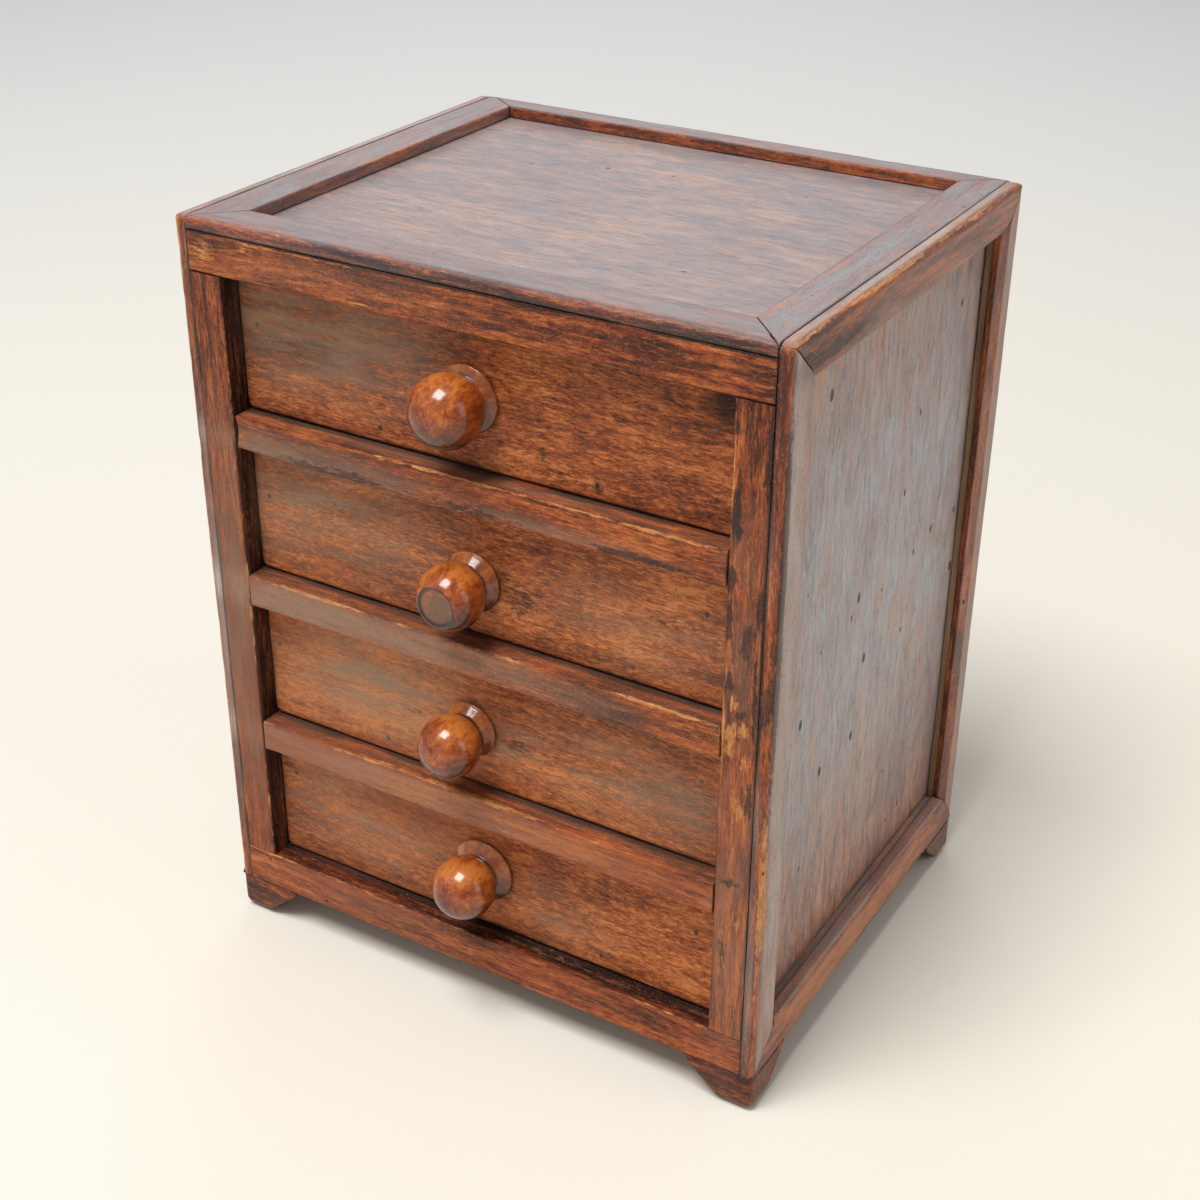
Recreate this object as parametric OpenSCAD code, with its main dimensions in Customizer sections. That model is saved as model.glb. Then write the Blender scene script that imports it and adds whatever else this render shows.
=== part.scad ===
// Small table chest of four drawers: an open front frame between two frame-and-panel
// sides, a mitred top frame over a sunk panel, corner feet, and pegged drawers that run
// on ledges. Millimetres, +Z up, drawers open towards -Y.

/* [Case] */
// Width over the side frames
case_w = 220; // [190:1:300]
// Depth from the front face to the back face
case_d = 177; // [150:1:260]
// Height from the floor to the top face
case_h = 277.5; // [250:0.5:360]
// Radius on the outer long edges of the case
edge_r = 2.6; // [0.8:0.1:3.4]
// Radius of the upper corners of the case, seen from the front or the side
corner_r = 3.6; // [1:0.1:4.4]
// Small break on the edges where members meet
ease = 0.45; // [0.2:0.05:0.6]

/* [Front frame] */
// Width of a front stile
stile_w = 12.6; // [10:0.2:18]
// Depth of the stiles, rails and dividers, front to back
front_t = 14; // [12:0.5:20]
// Height of the rail over the drawers
head_rail_h = 14; // [11:0.5:20]
// Height of the rail under the drawers
sill_rail_h = 15; // [12:0.5:20]
// Height of a divider between two drawers
divider_h = 12; // [9:0.5:16]
// Radius on the upper front edge of a divider
divider_r = 1.2; // [0.5:0.1:4]
// Thickness of the tenons of the front frame
tenon_t = 5; // [4:0.5:6]
// Length of the tenons of the front frame
tenon_l = 5.5; // [3:0.5:6]
// Shoulder left around a tenon
tenon_shoulder = 2; // [1:0.5:2.5]

/* [Side frames] */
// Thickness of the frame that shows on the side
side_t = 5; // [4:0.5:7]
// Width of the front stile of a side frame
side_front_w = 16.5; // [15:0.5:22]
// Width of the back stile of a side frame
side_back_w = 11.6; // [11.6:0.2:18]
// Width of the top rail of a side frame
side_top_w = 16; // [14:0.5:22]
// Width of the bevel around the side panel
side_bevel = 2.5; // [1:0.1:3.2]
// Thickness of the grooved core behind the top and bottom rails
core_t = 10; // [8.5:0.5:12]
// How far the core stands back behind the bevelled edge
core_back = 0.8; // [0.3:0.1:1.5]
// Depth of a back post, front to back
post_d = 11; // [9:0.5:11.5]

/* [Panels and boards] */
// Thickness of the side panels
panel_t = 4; // [3:0.2:4.4]
// Depth of the panel face below the side of the case
panel_recess = 7.3; // [6:0.1:8]
// Depth of the grooves that hold the side panels
groove_d = 3; // [2:0.2:4]
// Slack of a panel or board in its groove
panel_gap = 0.2; // [0.1:0.05:0.4]
// Thickness of the sunk top panel
top_panel_t = 4; // [3:0.2:5]
// Thickness of the bottom board
bottom_board_t = 3; // [2.5:0.2:3.4]
// Thickness of the back board
back_board_t = 5; // [4:0.2:6]
// Width of the rebates that hold the top panel, bottom board and back board
rebate_w = 4; // [3:0.2:5]

/* [Top frame] */
// Thickness of the mitred top frame
top_t = 5.5; // [4.5:0.1:7]
// Width of its front member
top_front_w = 15.5; // [14.5:0.5:24]
// Width of its side members
top_side_w = 14.8; // [12:0.2:24]
// Width of its back member
top_back_w = 11; // [9:0.5:20]
// Radius on the upper edge of the front member
nose_r = 2.8; // [1:0.1:3.4]
// Bevel on the inner edge of the top frame
top_bevel = 0.9; // [0.4:0.1:1.5]

/* [Drawers] */
// Depth of the drawer fronts behind the front of the case
drawer_recess = 7.5; // [3:0.5:10]
// Radius on the upper and lower front edges of a drawer front
drawer_edge_r = 1.2; // [0.4:0.1:2.5]
// Gap around a drawer front
front_gap = 0.45; // [0.3:0.05:0.8]
// Running gap between a drawer and its ledges and guides
run_gap = 0.4; // [0.3:0.05:0.8]
// Thickness of a drawer front
drawer_front_t = 9; // [8:0.5:12]
// Radius of the lower corners of a drawer front
drawer_corner_r = 3.4; // [1:0.1:4.5]
// Thickness of the drawer sides
drawer_side_t = 8; // [6:0.5:9]
// How far the front reaches past the drawer sides
drawer_lap = 3; // [2:0.2:5]
// Thickness of the drawer back
drawer_back_t = 7; // [5:0.5:9]
// Thickness of the drawer bottom
drawer_bottom_t = 5; // [4:0.5:6]
// Height of the drawer bottom above the lower edge of the sides
bottom_lift = 3; // [2:0.5:5]
// How far the drawer sides stay below the top of the front
side_drop = 2.8; // [1.5:0.1:6]
// Depth of the housings that join the drawer boards
housing_d = 3; // [2:0.2:4]
// Slack in the housings and peg holes
joint_gap = 0.05; // [0.02:0.01:0.1]
// Free space between a closed drawer and the back board
back_space = 6; // [3:1:15]
// How far the drawer sides run on past the drawer back
side_tail = 3; // [1:0.5:8]

/* [Pegs] */
// Diameter of the pegs through the drawer fronts
peg_d = 2; // [1.5:0.1:2.6]
// Length of a peg
peg_l = 14; // [12:0.5:20]
// Distance of the bottom pegs from the middle of the drawer
peg_spread = 44; // [25:1:60]
// Height of the side pegs as a share of the opening
peg_rise = 0.65; // [0.4:0.05:0.75]

/* [Runners] */
// Width of the ledge under a drawer side
ledge_w = 8.5; // [6:0.5:12]
// Height of the guide beside a drawer side
guide_h = 12; // [6:1:20]

/* [Knobs] */
// Diameter of a knob's ball
knob_d = 22.8; // [20:0.2:26]
// Distance from the drawer front to the middle of the ball
knob_out = 12.6; // [11:0.2:16]
// Diameter of the flange at the foot of a knob
flange_d = 21.4; // [20:0.2:26]
// Thickness of the rim of the flange
flange_t = 1.8; // [1.2:0.1:2.4]
// Diameter of the waist between flange and ball
waist_d = 16; // [13:0.5:17]
// Diameter of the spigot glued into the drawer front
spigot_d = 7; // [5:0.5:10]
// Wood worn off the tip of the second knob
worn_off = 2.4; // [0.5:0.1:3]
// Depth of the dished end grain in the worn tip
dish_d = 0.5; // [0.2:0.1:1]

/* [Feet] */
// Height of the feet
foot_h = 15; // [10:0.5:24]
// Length of a foot along the front, at the rail
foot_w = 26; // [18:0.5:36]
// Length of a foot along the side, at the rail
foot_side_w = 25; // [18:0.5:36]
// Length of the toe on the floor
toe_w = 10.5; // [9.5:0.5:14]
// Radius on the outer corner of the toe
toe_r = 4; // [1:0.2:5]
// Radius where the toe runs into the slope
slope_r = 5; // [2:0.5:6]
// Height of the upright lip at the end of a foot
lip_h = 1.8; // [1:0.2:4]

/* [Hidden] */
$fn = 64;

over = 1;                 // overrun of a cutting shape past the face it cuts
drawers = 4;              // rows of drawers, as many as NODES names

// Colours of the lacquer and of the bare wood inside
frame_colour = [0.36, 0.15, 0.08];
front_colour = [0.47, 0.22, 0.10];
panel_colour = [0.38, 0.19, 0.12];
knob_colour = [0.50, 0.22, 0.08];
bare_colour = [0.62, 0.45, 0.28];
peg_colour = [0.10, 0.06, 0.05];

// The origin lies under the middle of the whole, knobs included
knob_reach = knob_out + knob_d / 2 - drawer_recess;
front_y = (knob_reach - case_d) / 2;

// Planes of the case, seen from the front: half widths and heights
frame_x = case_w / 2 - side_t;                 // inner face of a side frame
open_x = frame_x - stile_w;                    // edge of the drawer openings
core_x = frame_x - core_t;                     // inner face of the rail cores and posts
panel_x = case_w / 2 - panel_recess;           // outer face of a side panel
deck_z = case_h - top_t;                       // top of the head rail and the sunk panel
head_z = deck_z - head_rail_h;                 // underside of the head rail
sill_z = foot_h + sill_rail_h;                 // top of the sill rail
open_h = (head_z - sill_z - (drawers - 1) * divider_h) / drawers;
pitch = open_h + divider_h;
function opening_z(n) = head_z - open_h - (n - 1) * pitch;

// Planes seen from the side, from the front face backwards
post_y = case_d - post_d;
back_y = case_d - back_board_t;
core_top_z = case_h - side_top_w + core_back;
core_low_z = sill_z - core_back;

// The drawer box, from the front face backwards
box_y = drawer_recess + drawer_front_t;
box_end = back_y - back_space;
back_face = box_end - side_tail;
front_x = open_x - front_gap;
side_x = front_x - drawer_lap;
inner_x = side_x - drawer_side_t;
side_h = open_h - run_gap - side_drop;

// Small offsets of the hand-set knobs from the middle of their fronts, x then z, and the
// sizes of the hand-turned balls and flanges; all the tips stand the same distance out
knob_shift = [[-2.3, -0.1], [-2.5, -3.9], [-5.1, -1.5], [-1.5, 0.7]];
ball_scale = [1.06, 0.99, 0.97, 1];
flange_scale = [1.085, 1.02, 0.975, 1.15];

// Offsets of the bottom pegs from their even places in each drawer, left then right
peg_shift = [[7, 0], [-2, 13], [3, 0.5], [4.5, 2.5]];
// Offsets of the side pegs in each drawer: left x and z, right x and z
side_peg_shift = [[0, 0, -1.3, 2.4], [-1.2, -2.2, -2.4, 1.3], [-2.4, -0.7, -2.2, 0.7], [0, 4.4, -2, 0.2]];

// ---------------------------------------------------------------- shared shapes

// Rectangle w by h; each corner is rounded by r or bevelled by c, in the order
// low left, low right, high right, high left
module section(w, h, r = [0, 0, 0, 0], c = [0, 0, 0, 0]) {
    difference() {
        square([w, h]);
        corner_cut(r[0], c[0]);
        translate([w, 0]) mirror([1, 0]) corner_cut(r[1], c[1]);
        translate([w, h]) rotate(180) corner_cut(r[2], c[2]);
        translate([0, h]) mirror([0, 1]) corner_cut(r[3], c[3]);
    }
}

module corner_cut(r, c) {
    if (r > 0) {
        difference() {
            translate([-over, -over]) square(r + over);
            translate([r, r]) circle(r);
        }
    }
    if (c > 0) {
        polygon([[-over, -over], [c + over, -over], [-over, c + over]]);
    }
}

// Extrusions that lay a drawn section along an axis of the case
module along_x(l) {
    rotate([90, 0, 90]) linear_extrude(l) children();
}

module along_y(l) {
    translate([0, l, 0]) rotate([90, 0, 0]) linear_extrude(l) children();
}

// Everything is drawn with y = 0 on the front face of the case
module in_case() {
    translate([0, front_y, 0]) children();
}

// Left-hand pieces are the right-hand ones mirrored
module handed(side) {
    if (side < 0) mirror([1, 0, 0]) children();
    else children();
}

// ---------------------------------------------------------------- spaces for panels

// A side panel, or with g > 0 the groove it stands in
module side_panel_block(g = 0) {
    lift = g > 0 ? 0 : panel_gap;
    y0 = front_t - groove_d + lift;
    y1 = post_y + groove_d - lift;
    z0 = core_low_z - groove_d;
    z1 = core_top_z + groove_d - lift;
    translate([panel_x - panel_t - g, y0, z0]) cube([panel_t + 2 * g, y1 - y0, z1 - z0]);
}

// A board between the rails, or with g > 0 its rebate
module board_block(z, t, y1, g = 0) {
    x = core_x + rebate_w + g;
    y0 = front_t - rebate_w - g;
    translate([-x, y0, z]) cube([2 * x, y1 + g - y0, t]);
}

module top_panel_block(g = 0) {
    board_block(deck_z - top_panel_t, top_panel_t, back_y, g);
}

module bottom_board_block(g = 0) {
    board_block(foot_h, bottom_board_t, back_y, g);
}

module back_board_block(g = 0) {
    x = core_x + rebate_w + g;
    translate([-x, back_y, foot_h]) cube([2 * x, back_board_t, deck_z - foot_h]);
}

// The grooves and rebates that every member of the case may meet
module panel_spaces() {
    for (side = [-1, 1]) handed(side) side_panel_block(panel_gap);
    top_panel_block(panel_gap);
    bottom_board_block(panel_gap);
    back_board_block(panel_gap);
}

// ---------------------------------------------------------------- front frame

// Tenon at the head and foot of a stile, or with g > 0 its mortise
module stile_tenon(z, g = 0) {
    x0 = open_x + tenon_shoulder - g;
    x1 = frame_x - tenon_shoulder + g;
    y0 = (front_t - tenon_t) / 2 - g;
    translate([x0, y0, z]) cube([x1 - x0, tenon_t + 2 * g, tenon_l + g]);
}

module stile_tenons(g = 0) {
    stile_tenon(head_z, g);
    translate([0, 0, 2 * sill_z]) mirror([0, 0, 1]) stile_tenon(sill_z, g);
}

// Tenon at the end of a divider, or with g > 0 its mortise
module divider_tenon(n, g = 0) {
    y0 = (front_t - tenon_t) / 2 - g;
    z0 = opening_z(n) - divider_h + tenon_shoulder - g;
    z1 = opening_z(n) - tenon_shoulder + g;
    translate([open_x, y0, z0]) cube([tenon_l + g, tenon_t + 2 * g, z1 - z0]);
}

module front_stile(side) {
    color(frame_colour) in_case() handed(side) difference() {
        union() {
            translate([open_x, 0, sill_z]) linear_extrude(head_z - sill_z)
                section(stile_w, front_t, r = [ease, 0, 0, 0], c = [0, ease, 0, 0]);
            stile_tenons();
        }
        side_panel_block(panel_gap);
        for (n = [1:drawers - 1]) divider_tenon(n, joint_gap);
    }
}

// A rail across the front, between the side frames
module front_rail(z, h, r, c) {
    color(frame_colour) in_case() difference() {
        translate([-frame_x, 0, z]) along_x(2 * frame_x) section(front_t, h, r = r, c = c);
        panel_spaces();
        for (side = [-1, 1]) handed(side) stile_tenons(joint_gap);
    }
}

module front_head_rail() {
    front_rail(head_z, head_rail_h, [ease, 0, 0, 0], [0, 0, 0, ease]);
}

module front_sill_rail() {
    front_rail(foot_h, sill_rail_h, [0, 0, 0, divider_r / 2], [ease, 0, 0, 0]);
}

module divider_rail(n) {
    color(frame_colour) in_case() {
        translate([-open_x, 0, opening_z(n) - divider_h]) along_x(2 * open_x)
            section(front_t, divider_h, r = [divider_r / 2, 0, 0, divider_r]);
        for (side = [-1, 1]) handed(side) divider_tenon(n);
    }
}

// ---------------------------------------------------------------- side frames

// Corners of a side frame where its members meet in mitres, as [y, z]
mitre_out = [[0, foot_h], [case_d, foot_h], [case_d, case_h], [0, case_h]];
mitre_in = [
    [side_front_w, sill_z], [case_d - side_back_w, sill_z],
    [case_d - side_back_w, case_h - side_top_w], [side_front_w, case_h - side_top_w],
];

// Side outline of member i, from corner i to corner i + 1, inside the rounded frame
module mitred(i) {
    j = (i + 1) % 4;
    translate([frame_x - over, 0, 0]) along_x(side_t + 2 * over) intersection() {
        polygon([mitre_out[i], mitre_out[j], mitre_in[j], mitre_in[i]]);
        section(case_d, case_h, r = [0, 0, corner_r, corner_r]);
    }
}

// Upright member: the section is drawn from above
module side_stile(side, y, w, r, c, i) {
    color(frame_colour) in_case() handed(side) intersection() {
        translate([frame_x, y, foot_h]) linear_extrude(case_h - foot_h)
            section(side_t, w, r = r, c = c);
        mitred(i);
    }
}

module side_front_stile(side) {
    side_stile(side, 0, side_front_w, [0, edge_r, 0, 0], [ease, 0, side_bevel, 0], 3);
}

module side_back_stile(side) {
    side_stile(side, case_d - side_back_w, side_back_w,
        [0, 0, edge_r, 0], [0, side_bevel, 0, 0], 1);
}

// Core of a side rail, between the front stile and the back post
module rail_core(low, high) {
    translate([core_x, front_t, low]) cube([core_t, post_y - front_t, high - low]);
}

// Lying member with a grooved core behind it: the section is drawn from the front
module side_rail(side, z, h, r, c, i, core_low, core_high) {
    color(frame_colour) in_case() handed(side) difference() {
        union() {
            intersection() {
                translate([frame_x, 0, z]) along_y(case_d) section(side_t, h, r = r, c = c);
                mitred(i);
            }
            rail_core(core_low, core_high);
        }
        panel_spaces();
    }
}

module side_top_rail(side) {
    side_rail(side, case_h - side_top_w, side_top_w, [0, 0, edge_r, 0], [0, side_bevel, 0, ease],
        2, core_top_z, deck_z);
}

module side_bottom_rail(side) {
    side_rail(side, foot_h, sill_rail_h, [0, 0, 0, 0], [0, ease, side_bevel / 2, 0],
        0, foot_h, core_low_z);
}

module side_panel(side) {
    color(panel_colour) in_case() handed(side) side_panel_block();
}

// ---------------------------------------------------------------- top

top_in_x = frame_x - top_side_w;
top_in_y = case_d - top_back_w;

// A member of the top frame: the plan outline cuts the mitres, the child is its bar
module top_member(outline) {
    color(frame_colour) in_case() intersection() {
        children();
        translate([0, 0, deck_z - over]) linear_extrude(top_t + 2 * over) polygon(outline);
    }
}

module top_frame_front() {
    top_member([[-frame_x, 0], [frame_x, 0], [top_in_x, top_front_w], [-top_in_x, top_front_w]])
        translate([-frame_x, 0, deck_z]) along_x(2 * frame_x) section(
            top_front_w, top_t, r = [ease, 0, 0, nose_r], c = [0, 0, top_bevel, 0]);
}

module top_frame_back() {
    top_member([[-frame_x, case_d], [frame_x, case_d], [top_in_x, top_in_y], [-top_in_x, top_in_y]])
        translate([-frame_x, top_in_y, deck_z]) along_x(2 * frame_x) section(
            top_back_w, top_t, r = [0, 0, edge_r, 0], c = [0, 0, 0, top_bevel]);
}

// The tips of a side member follow the rounded nose and the rounded back edge
module top_frame_side(side) {
    handed(side) top_member([
        [frame_x, 0], [frame_x, case_d], [top_in_x, top_in_y], [top_in_x, top_front_w]])
        translate([top_in_x, 0, deck_z]) intersection() {
            along_y(case_d) section(top_side_w, top_t, c = [0, 0, ease, top_bevel]);
            along_x(top_side_w) section(case_d, top_t, r = [0, 0, edge_r, nose_r]);
        }
}

module top_panel() {
    color(panel_colour) in_case() top_panel_block();
}

// ---------------------------------------------------------------- back, bottom, runners

module back_post(side) {
    color(bare_colour) in_case() handed(side) difference() {
        translate([core_x, post_y, foot_h]) cube([core_t, post_d, deck_z - foot_h]);
        panel_spaces();
    }
}

module back_board() {
    color(bare_colour) in_case() back_board_block();
}

module bottom_board() {
    color(bare_colour) in_case() bottom_board_block();
}

// A ledge under a drawer side, from the stile to the post, and the guide beside the
// side, which starts behind the drawer front and stops it
module runner(n) {
    out_x = panel_x - panel_t - panel_gap - run_gap;
    guide_x = side_x + run_gap;
    ledge_x = side_x - ledge_w;
    guide_y = box_y + run_gap;
    difference() {
        translate([0, 0, opening_z(n)]) {
            translate([ledge_x, front_t, -divider_h])
                cube([out_x - ledge_x, post_y - front_t, divider_h]);
            translate([guide_x, guide_y, -over])
                cube([out_x - guide_x, post_y - guide_y, guide_h + over]);
        }
        rail_core(foot_h, core_low_z);
    }
}

module drawer_runners() {
    color(bare_colour) in_case() for (n = [1:drawers], side = [-1, 1]) handed(side) runner(n);
}

// ---------------------------------------------------------------- feet

// Outline of a foot from its outer edge inwards: a rounded toe, then a slope to the lip
function arc(c, r, from, to, steps = 8) =
    [for (i = [0:steps]) let (a = from + (to - from) * i / steps) c + r * [cos(a), sin(a)]];

module foot_outline(w) {
    slope = atan2(foot_h - lip_h, w - toe_w);
    turn = [toe_w - slope_r * tan(slope / 2), slope_r];
    polygon(concat(
        [[0, foot_h]], arc([toe_r, toe_r], toe_r, 180, 270),
        arc(turn, slope_r, -90, slope - 90), [[w, foot_h - lip_h], [w, foot_h]]));
}

module foot(side, back) {
    y = back ? case_d : 0;
    color(frame_colour) in_case() handed(side) translate([case_w / 2, y, 0])
        mirror([0, back ? 1 : 0, 0]) intersection() {
            mirror([1, 0, 0]) along_y(foot_side_w) foot_outline(foot_w);
            translate([-foot_w, 0, 0]) along_x(foot_w) foot_outline(foot_side_w);
            translate([-foot_w, 0, 0]) linear_extrude(foot_h)
                section(foot_w, foot_side_w, r = [0, edge_r, 0, 0]);
        }
}

// ---------------------------------------------------------------- drawers

// Puts a drawer piece into row n, with z = 0 on the ledge
module in_row(n) {
    in_case() translate([0, 0, opening_z(n)]) children();
}

// Pegs through the front into the sides and the bottom, or with g > 0 their holes
module peg_set(n, g = 0) {
    shift = peg_shift[n - 1];
    side_shift = side_peg_shift[n - 1];
    side_peg_x = (inner_x + side_x) / 2;
    side_peg_z = peg_rise * open_h;
    bottom_z = run_gap + bottom_lift + drawer_bottom_t / 2;
    places = [
        [side_shift[0] - side_peg_x, side_peg_z + side_shift[1]],
        [side_shift[2] + side_peg_x, side_peg_z + side_shift[3]],
        [shift[0] - peg_spread, bottom_z], [shift[1] + peg_spread, bottom_z],
    ];
    for (p = places) translate([p[0], drawer_recess, p[1]]) rotate([-90, 0, 0])
        translate([0, 0, g > 0 ? -over : 0]) cylinder(d = peg_d + 2 * g, h = peg_l + g + (g > 0 ? over : 0));
}

module side_block(g = 0) {
    translate([inner_x - g, box_y - housing_d, run_gap - g])
        cube([drawer_side_t + 2 * g, box_end - box_y + housing_d, side_h + 2 * g]);
}

module bottom_block(g = 0) {
    x = inner_x + housing_d - (g > 0 ? 0 : panel_gap);
    y = box_y - housing_d;
    translate([-x, y, run_gap + bottom_lift])
        cube([2 * x, back_face - y + (g > 0 ? over + side_tail : 0), drawer_bottom_t + g]);
}

module back_block(g = 0) {
    x = inner_x + housing_d - (g > 0 ? 0 : joint_gap);
    z = run_gap + bottom_lift + drawer_bottom_t;
    translate([-x, back_face - drawer_back_t - g, z])
        cube([2 * x, drawer_back_t + 2 * g, run_gap + side_h - z - side_drop + g]);
}

module knob_axis(n) {
    shift = knob_shift[n - 1];
    translate([shift[0], drawer_recess, open_h / 2 + shift[1]]) rotate([90, 0, 0]) children();
}

module drawer_front(n) {
    h = open_h - 2 * front_gap;
    color(front_colour) in_row(n) difference() {
        intersection() {
            translate([-front_x, drawer_recess, front_gap]) along_x(2 * front_x)
                section(drawer_front_t, h, r = [drawer_edge_r, 0, 0, drawer_edge_r]);
            translate([-front_x, drawer_recess, front_gap]) along_y(drawer_front_t) section(
                2 * front_x, h, r = [drawer_corner_r, drawer_corner_r, ease, ease]);
        }
        for (side = [-1, 1]) handed(side) side_block(joint_gap);
        bottom_block(joint_gap);
        peg_set(n, joint_gap);
        knob_axis(n) translate([0, 0, -drawer_front_t - over])
            cylinder(d = spigot_d + 2 * joint_gap, h = drawer_front_t + 2 * over);
    }
}

module drawer_side(n, side) {
    color(bare_colour) in_row(n) difference() {
        handed(side) side_block();
        bottom_block(joint_gap);
        back_block(joint_gap);
        peg_set(n, joint_gap);
    }
}

module drawer_back(n) {
    color(bare_colour) in_row(n) back_block();
}

module drawer_bottom(n) {
    color(bare_colour) in_row(n) difference() {
        bottom_block();
        peg_set(n, joint_gap);
    }
}

module drawer_pegs(n) {
    color(peg_colour) in_row(n) peg_set(n);
}

// Turned knob: spigot, flange with a rounded rim, tapered collar, waist and ball
module drawer_knob(n) {
    ball_r = knob_d / 2 * ball_scale[n - 1];
    flange_r = flange_d / 2 * flange_scale[n - 1];
    waist_r = waist_d / 2 * ball_scale[n - 1];
    rim = flange_t / 2;
    tip = knob_out + knob_d / 2;
    ball_out = tip - ball_r;
    waist_z = ball_out - sqrt(ball_r * ball_r - waist_r * waist_r);
    // The cone over the flange runs on a little way into the ball
    neck_r = waist_r - (flange_r - rim - waist_r) / 8;
    neck_z = waist_z + (waist_z - flange_t) / 8;
    worn = n == 2;
    color(knob_colour) in_row(n) knob_axis(n) difference() {
        rotate_extrude() union() {
            translate([0, -drawer_front_t]) square([spigot_d / 2, drawer_front_t]);
            square([flange_r - rim, flange_t]);
            translate([flange_r - rim, rim]) circle(rim);
            polygon([[0, 0], [flange_r - rim, flange_t], [neck_r, neck_z], [0, neck_z]]);
            intersection() {
                translate([0, ball_out]) circle(ball_r);
                translate([0, rim]) square([ball_r + over, worn ? tip - worn_off - rim : tip]);
            }
        }
        if (worn) {
            flat_r = sqrt(ball_r * ball_r - pow(ball_r - worn_off, 2));
            translate([0, 0, tip - worn_off - dish_d]) cylinder(r = flat_r - ease, h = dish_d + over);
        }
    }
}

// ---------------------------------------------------------------- assembly

front_stile(-1);  // front_stile_left
front_stile(1);  // front_stile_right
front_head_rail();
front_sill_rail();
divider_rail(1);  // divider_rail_1
divider_rail(2);  // divider_rail_2
divider_rail(3);  // divider_rail_3
side_front_stile(-1);  // left_frame_front_stile
side_back_stile(-1);  // left_frame_back_stile
side_top_rail(-1);  // left_frame_top_rail
side_bottom_rail(-1);  // left_frame_bottom_rail
side_front_stile(1);  // right_frame_front_stile
side_back_stile(1);  // right_frame_back_stile
side_top_rail(1);  // right_frame_top_rail
side_bottom_rail(1);  // right_frame_bottom_rail
side_panel(-1);  // left_side_panel
side_panel(1);  // right_side_panel
top_frame_front();
top_frame_back();
top_frame_side(-1);  // top_frame_left
top_frame_side(1);  // top_frame_right
top_panel();
back_post(-1);  // back_post_left
back_post(1);  // back_post_right
back_board();
bottom_board();
drawer_runners();
foot(-1, false);  // foot_front_left
foot(1, false);  // foot_front_right
foot(-1, true);  // foot_back_left
foot(1, true);  // foot_back_right
drawer_front(1);  // drawer_1_front
drawer_side(1, -1);  // drawer_1_left_side
drawer_side(1, 1);  // drawer_1_right_side
drawer_back(1);  // drawer_1_back
drawer_bottom(1);  // drawer_1_bottom
drawer_knob(1);  // drawer_1_knob
drawer_pegs(1);  // drawer_1_pegs
drawer_front(2);  // drawer_2_front
drawer_side(2, -1);  // drawer_2_left_side
drawer_side(2, 1);  // drawer_2_right_side
drawer_back(2);  // drawer_2_back
drawer_bottom(2);  // drawer_2_bottom
drawer_knob(2);  // drawer_2_knob
drawer_pegs(2);  // drawer_2_pegs
drawer_front(3);  // drawer_3_front
drawer_side(3, -1);  // drawer_3_left_side
drawer_side(3, 1);  // drawer_3_right_side
drawer_back(3);  // drawer_3_back
drawer_bottom(3);  // drawer_3_bottom
drawer_knob(3);  // drawer_3_knob
drawer_pegs(3);  // drawer_3_pegs
drawer_front(4);  // drawer_4_front
drawer_side(4, -1);  // drawer_4_left_side
drawer_side(4, 1);  // drawer_4_right_side
drawer_back(4);  // drawer_4_back
drawer_bottom(4);  // drawer_4_bottom
drawer_knob(4);  // drawer_4_knob
drawer_pegs(4);  // drawer_4_pegs
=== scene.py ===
import math
import random

import bpy
import numpy as np
from mathutils import Matrix, Vector, noise


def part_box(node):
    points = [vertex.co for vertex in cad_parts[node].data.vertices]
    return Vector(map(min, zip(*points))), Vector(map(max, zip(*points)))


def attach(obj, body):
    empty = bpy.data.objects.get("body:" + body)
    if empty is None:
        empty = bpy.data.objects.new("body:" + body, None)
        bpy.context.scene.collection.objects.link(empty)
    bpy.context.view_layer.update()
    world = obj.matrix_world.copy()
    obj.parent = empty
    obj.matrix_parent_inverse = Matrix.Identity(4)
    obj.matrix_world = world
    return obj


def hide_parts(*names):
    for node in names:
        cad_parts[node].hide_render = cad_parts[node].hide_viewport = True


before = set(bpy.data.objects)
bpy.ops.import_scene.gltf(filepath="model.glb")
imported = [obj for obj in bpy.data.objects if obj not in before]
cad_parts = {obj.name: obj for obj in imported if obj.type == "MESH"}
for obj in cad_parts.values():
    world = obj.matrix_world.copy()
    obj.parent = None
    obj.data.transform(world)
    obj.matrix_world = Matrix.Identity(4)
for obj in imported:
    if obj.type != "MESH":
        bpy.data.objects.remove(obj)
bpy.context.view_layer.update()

mm = 0.001
dice = random.Random(41)


def boxOf(node):
    # Low and high corner of a solid, in millimetres
    low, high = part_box(node)
    return [v / mm for v in low], [v / mm for v in high]


# Planes of the case, all read from the frame
caseLow, caseHigh = boxOf("right_frame_front_stile")
frontY = caseLow[1]
backY = boxOf("right_frame_back_stile")[1][1]
outerX = caseHigh[0]
frameX = caseLow[0]                                 # where a side meets the front and the top
topZ = caseHigh[2]
railZ = caseLow[2]                                  # underside of the lowest rails
sideFrontY = caseHigh[1]                            # where the front stile of a side ends
sideBackY = boxOf("right_frame_back_stile")[0][1]
sideTopZ = boxOf("right_frame_top_rail")[0][2]
dividerTenon = 5.5
openX = boxOf("divider_rail_1")[1][0] - dividerTenon  # half the width of an opening
headLow, headHigh = boxOf("front_head_rail")
sillLow, sillHigh = boxOf("front_sill_rail")
deckZ = headHigh[2]                                 # what the top frame lies on
frontInY = headHigh[1]
panelLow, panelHigh = boxOf("right_side_panel")
boardLow, boardHigh = boxOf("top_panel")
topInX = boxOf("top_frame_right")[0][0]
topFrontY = boxOf("top_frame_front")[1][1]
topBackY = boxOf("top_frame_back")[0][1]
drawerY = boxOf("drawer_1_front")[0][1]             # faces of the drawers
bothSides = ((-1, "left"), (1, "right"))
drawerNumbers = (1, 2, 3, 4)


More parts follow.
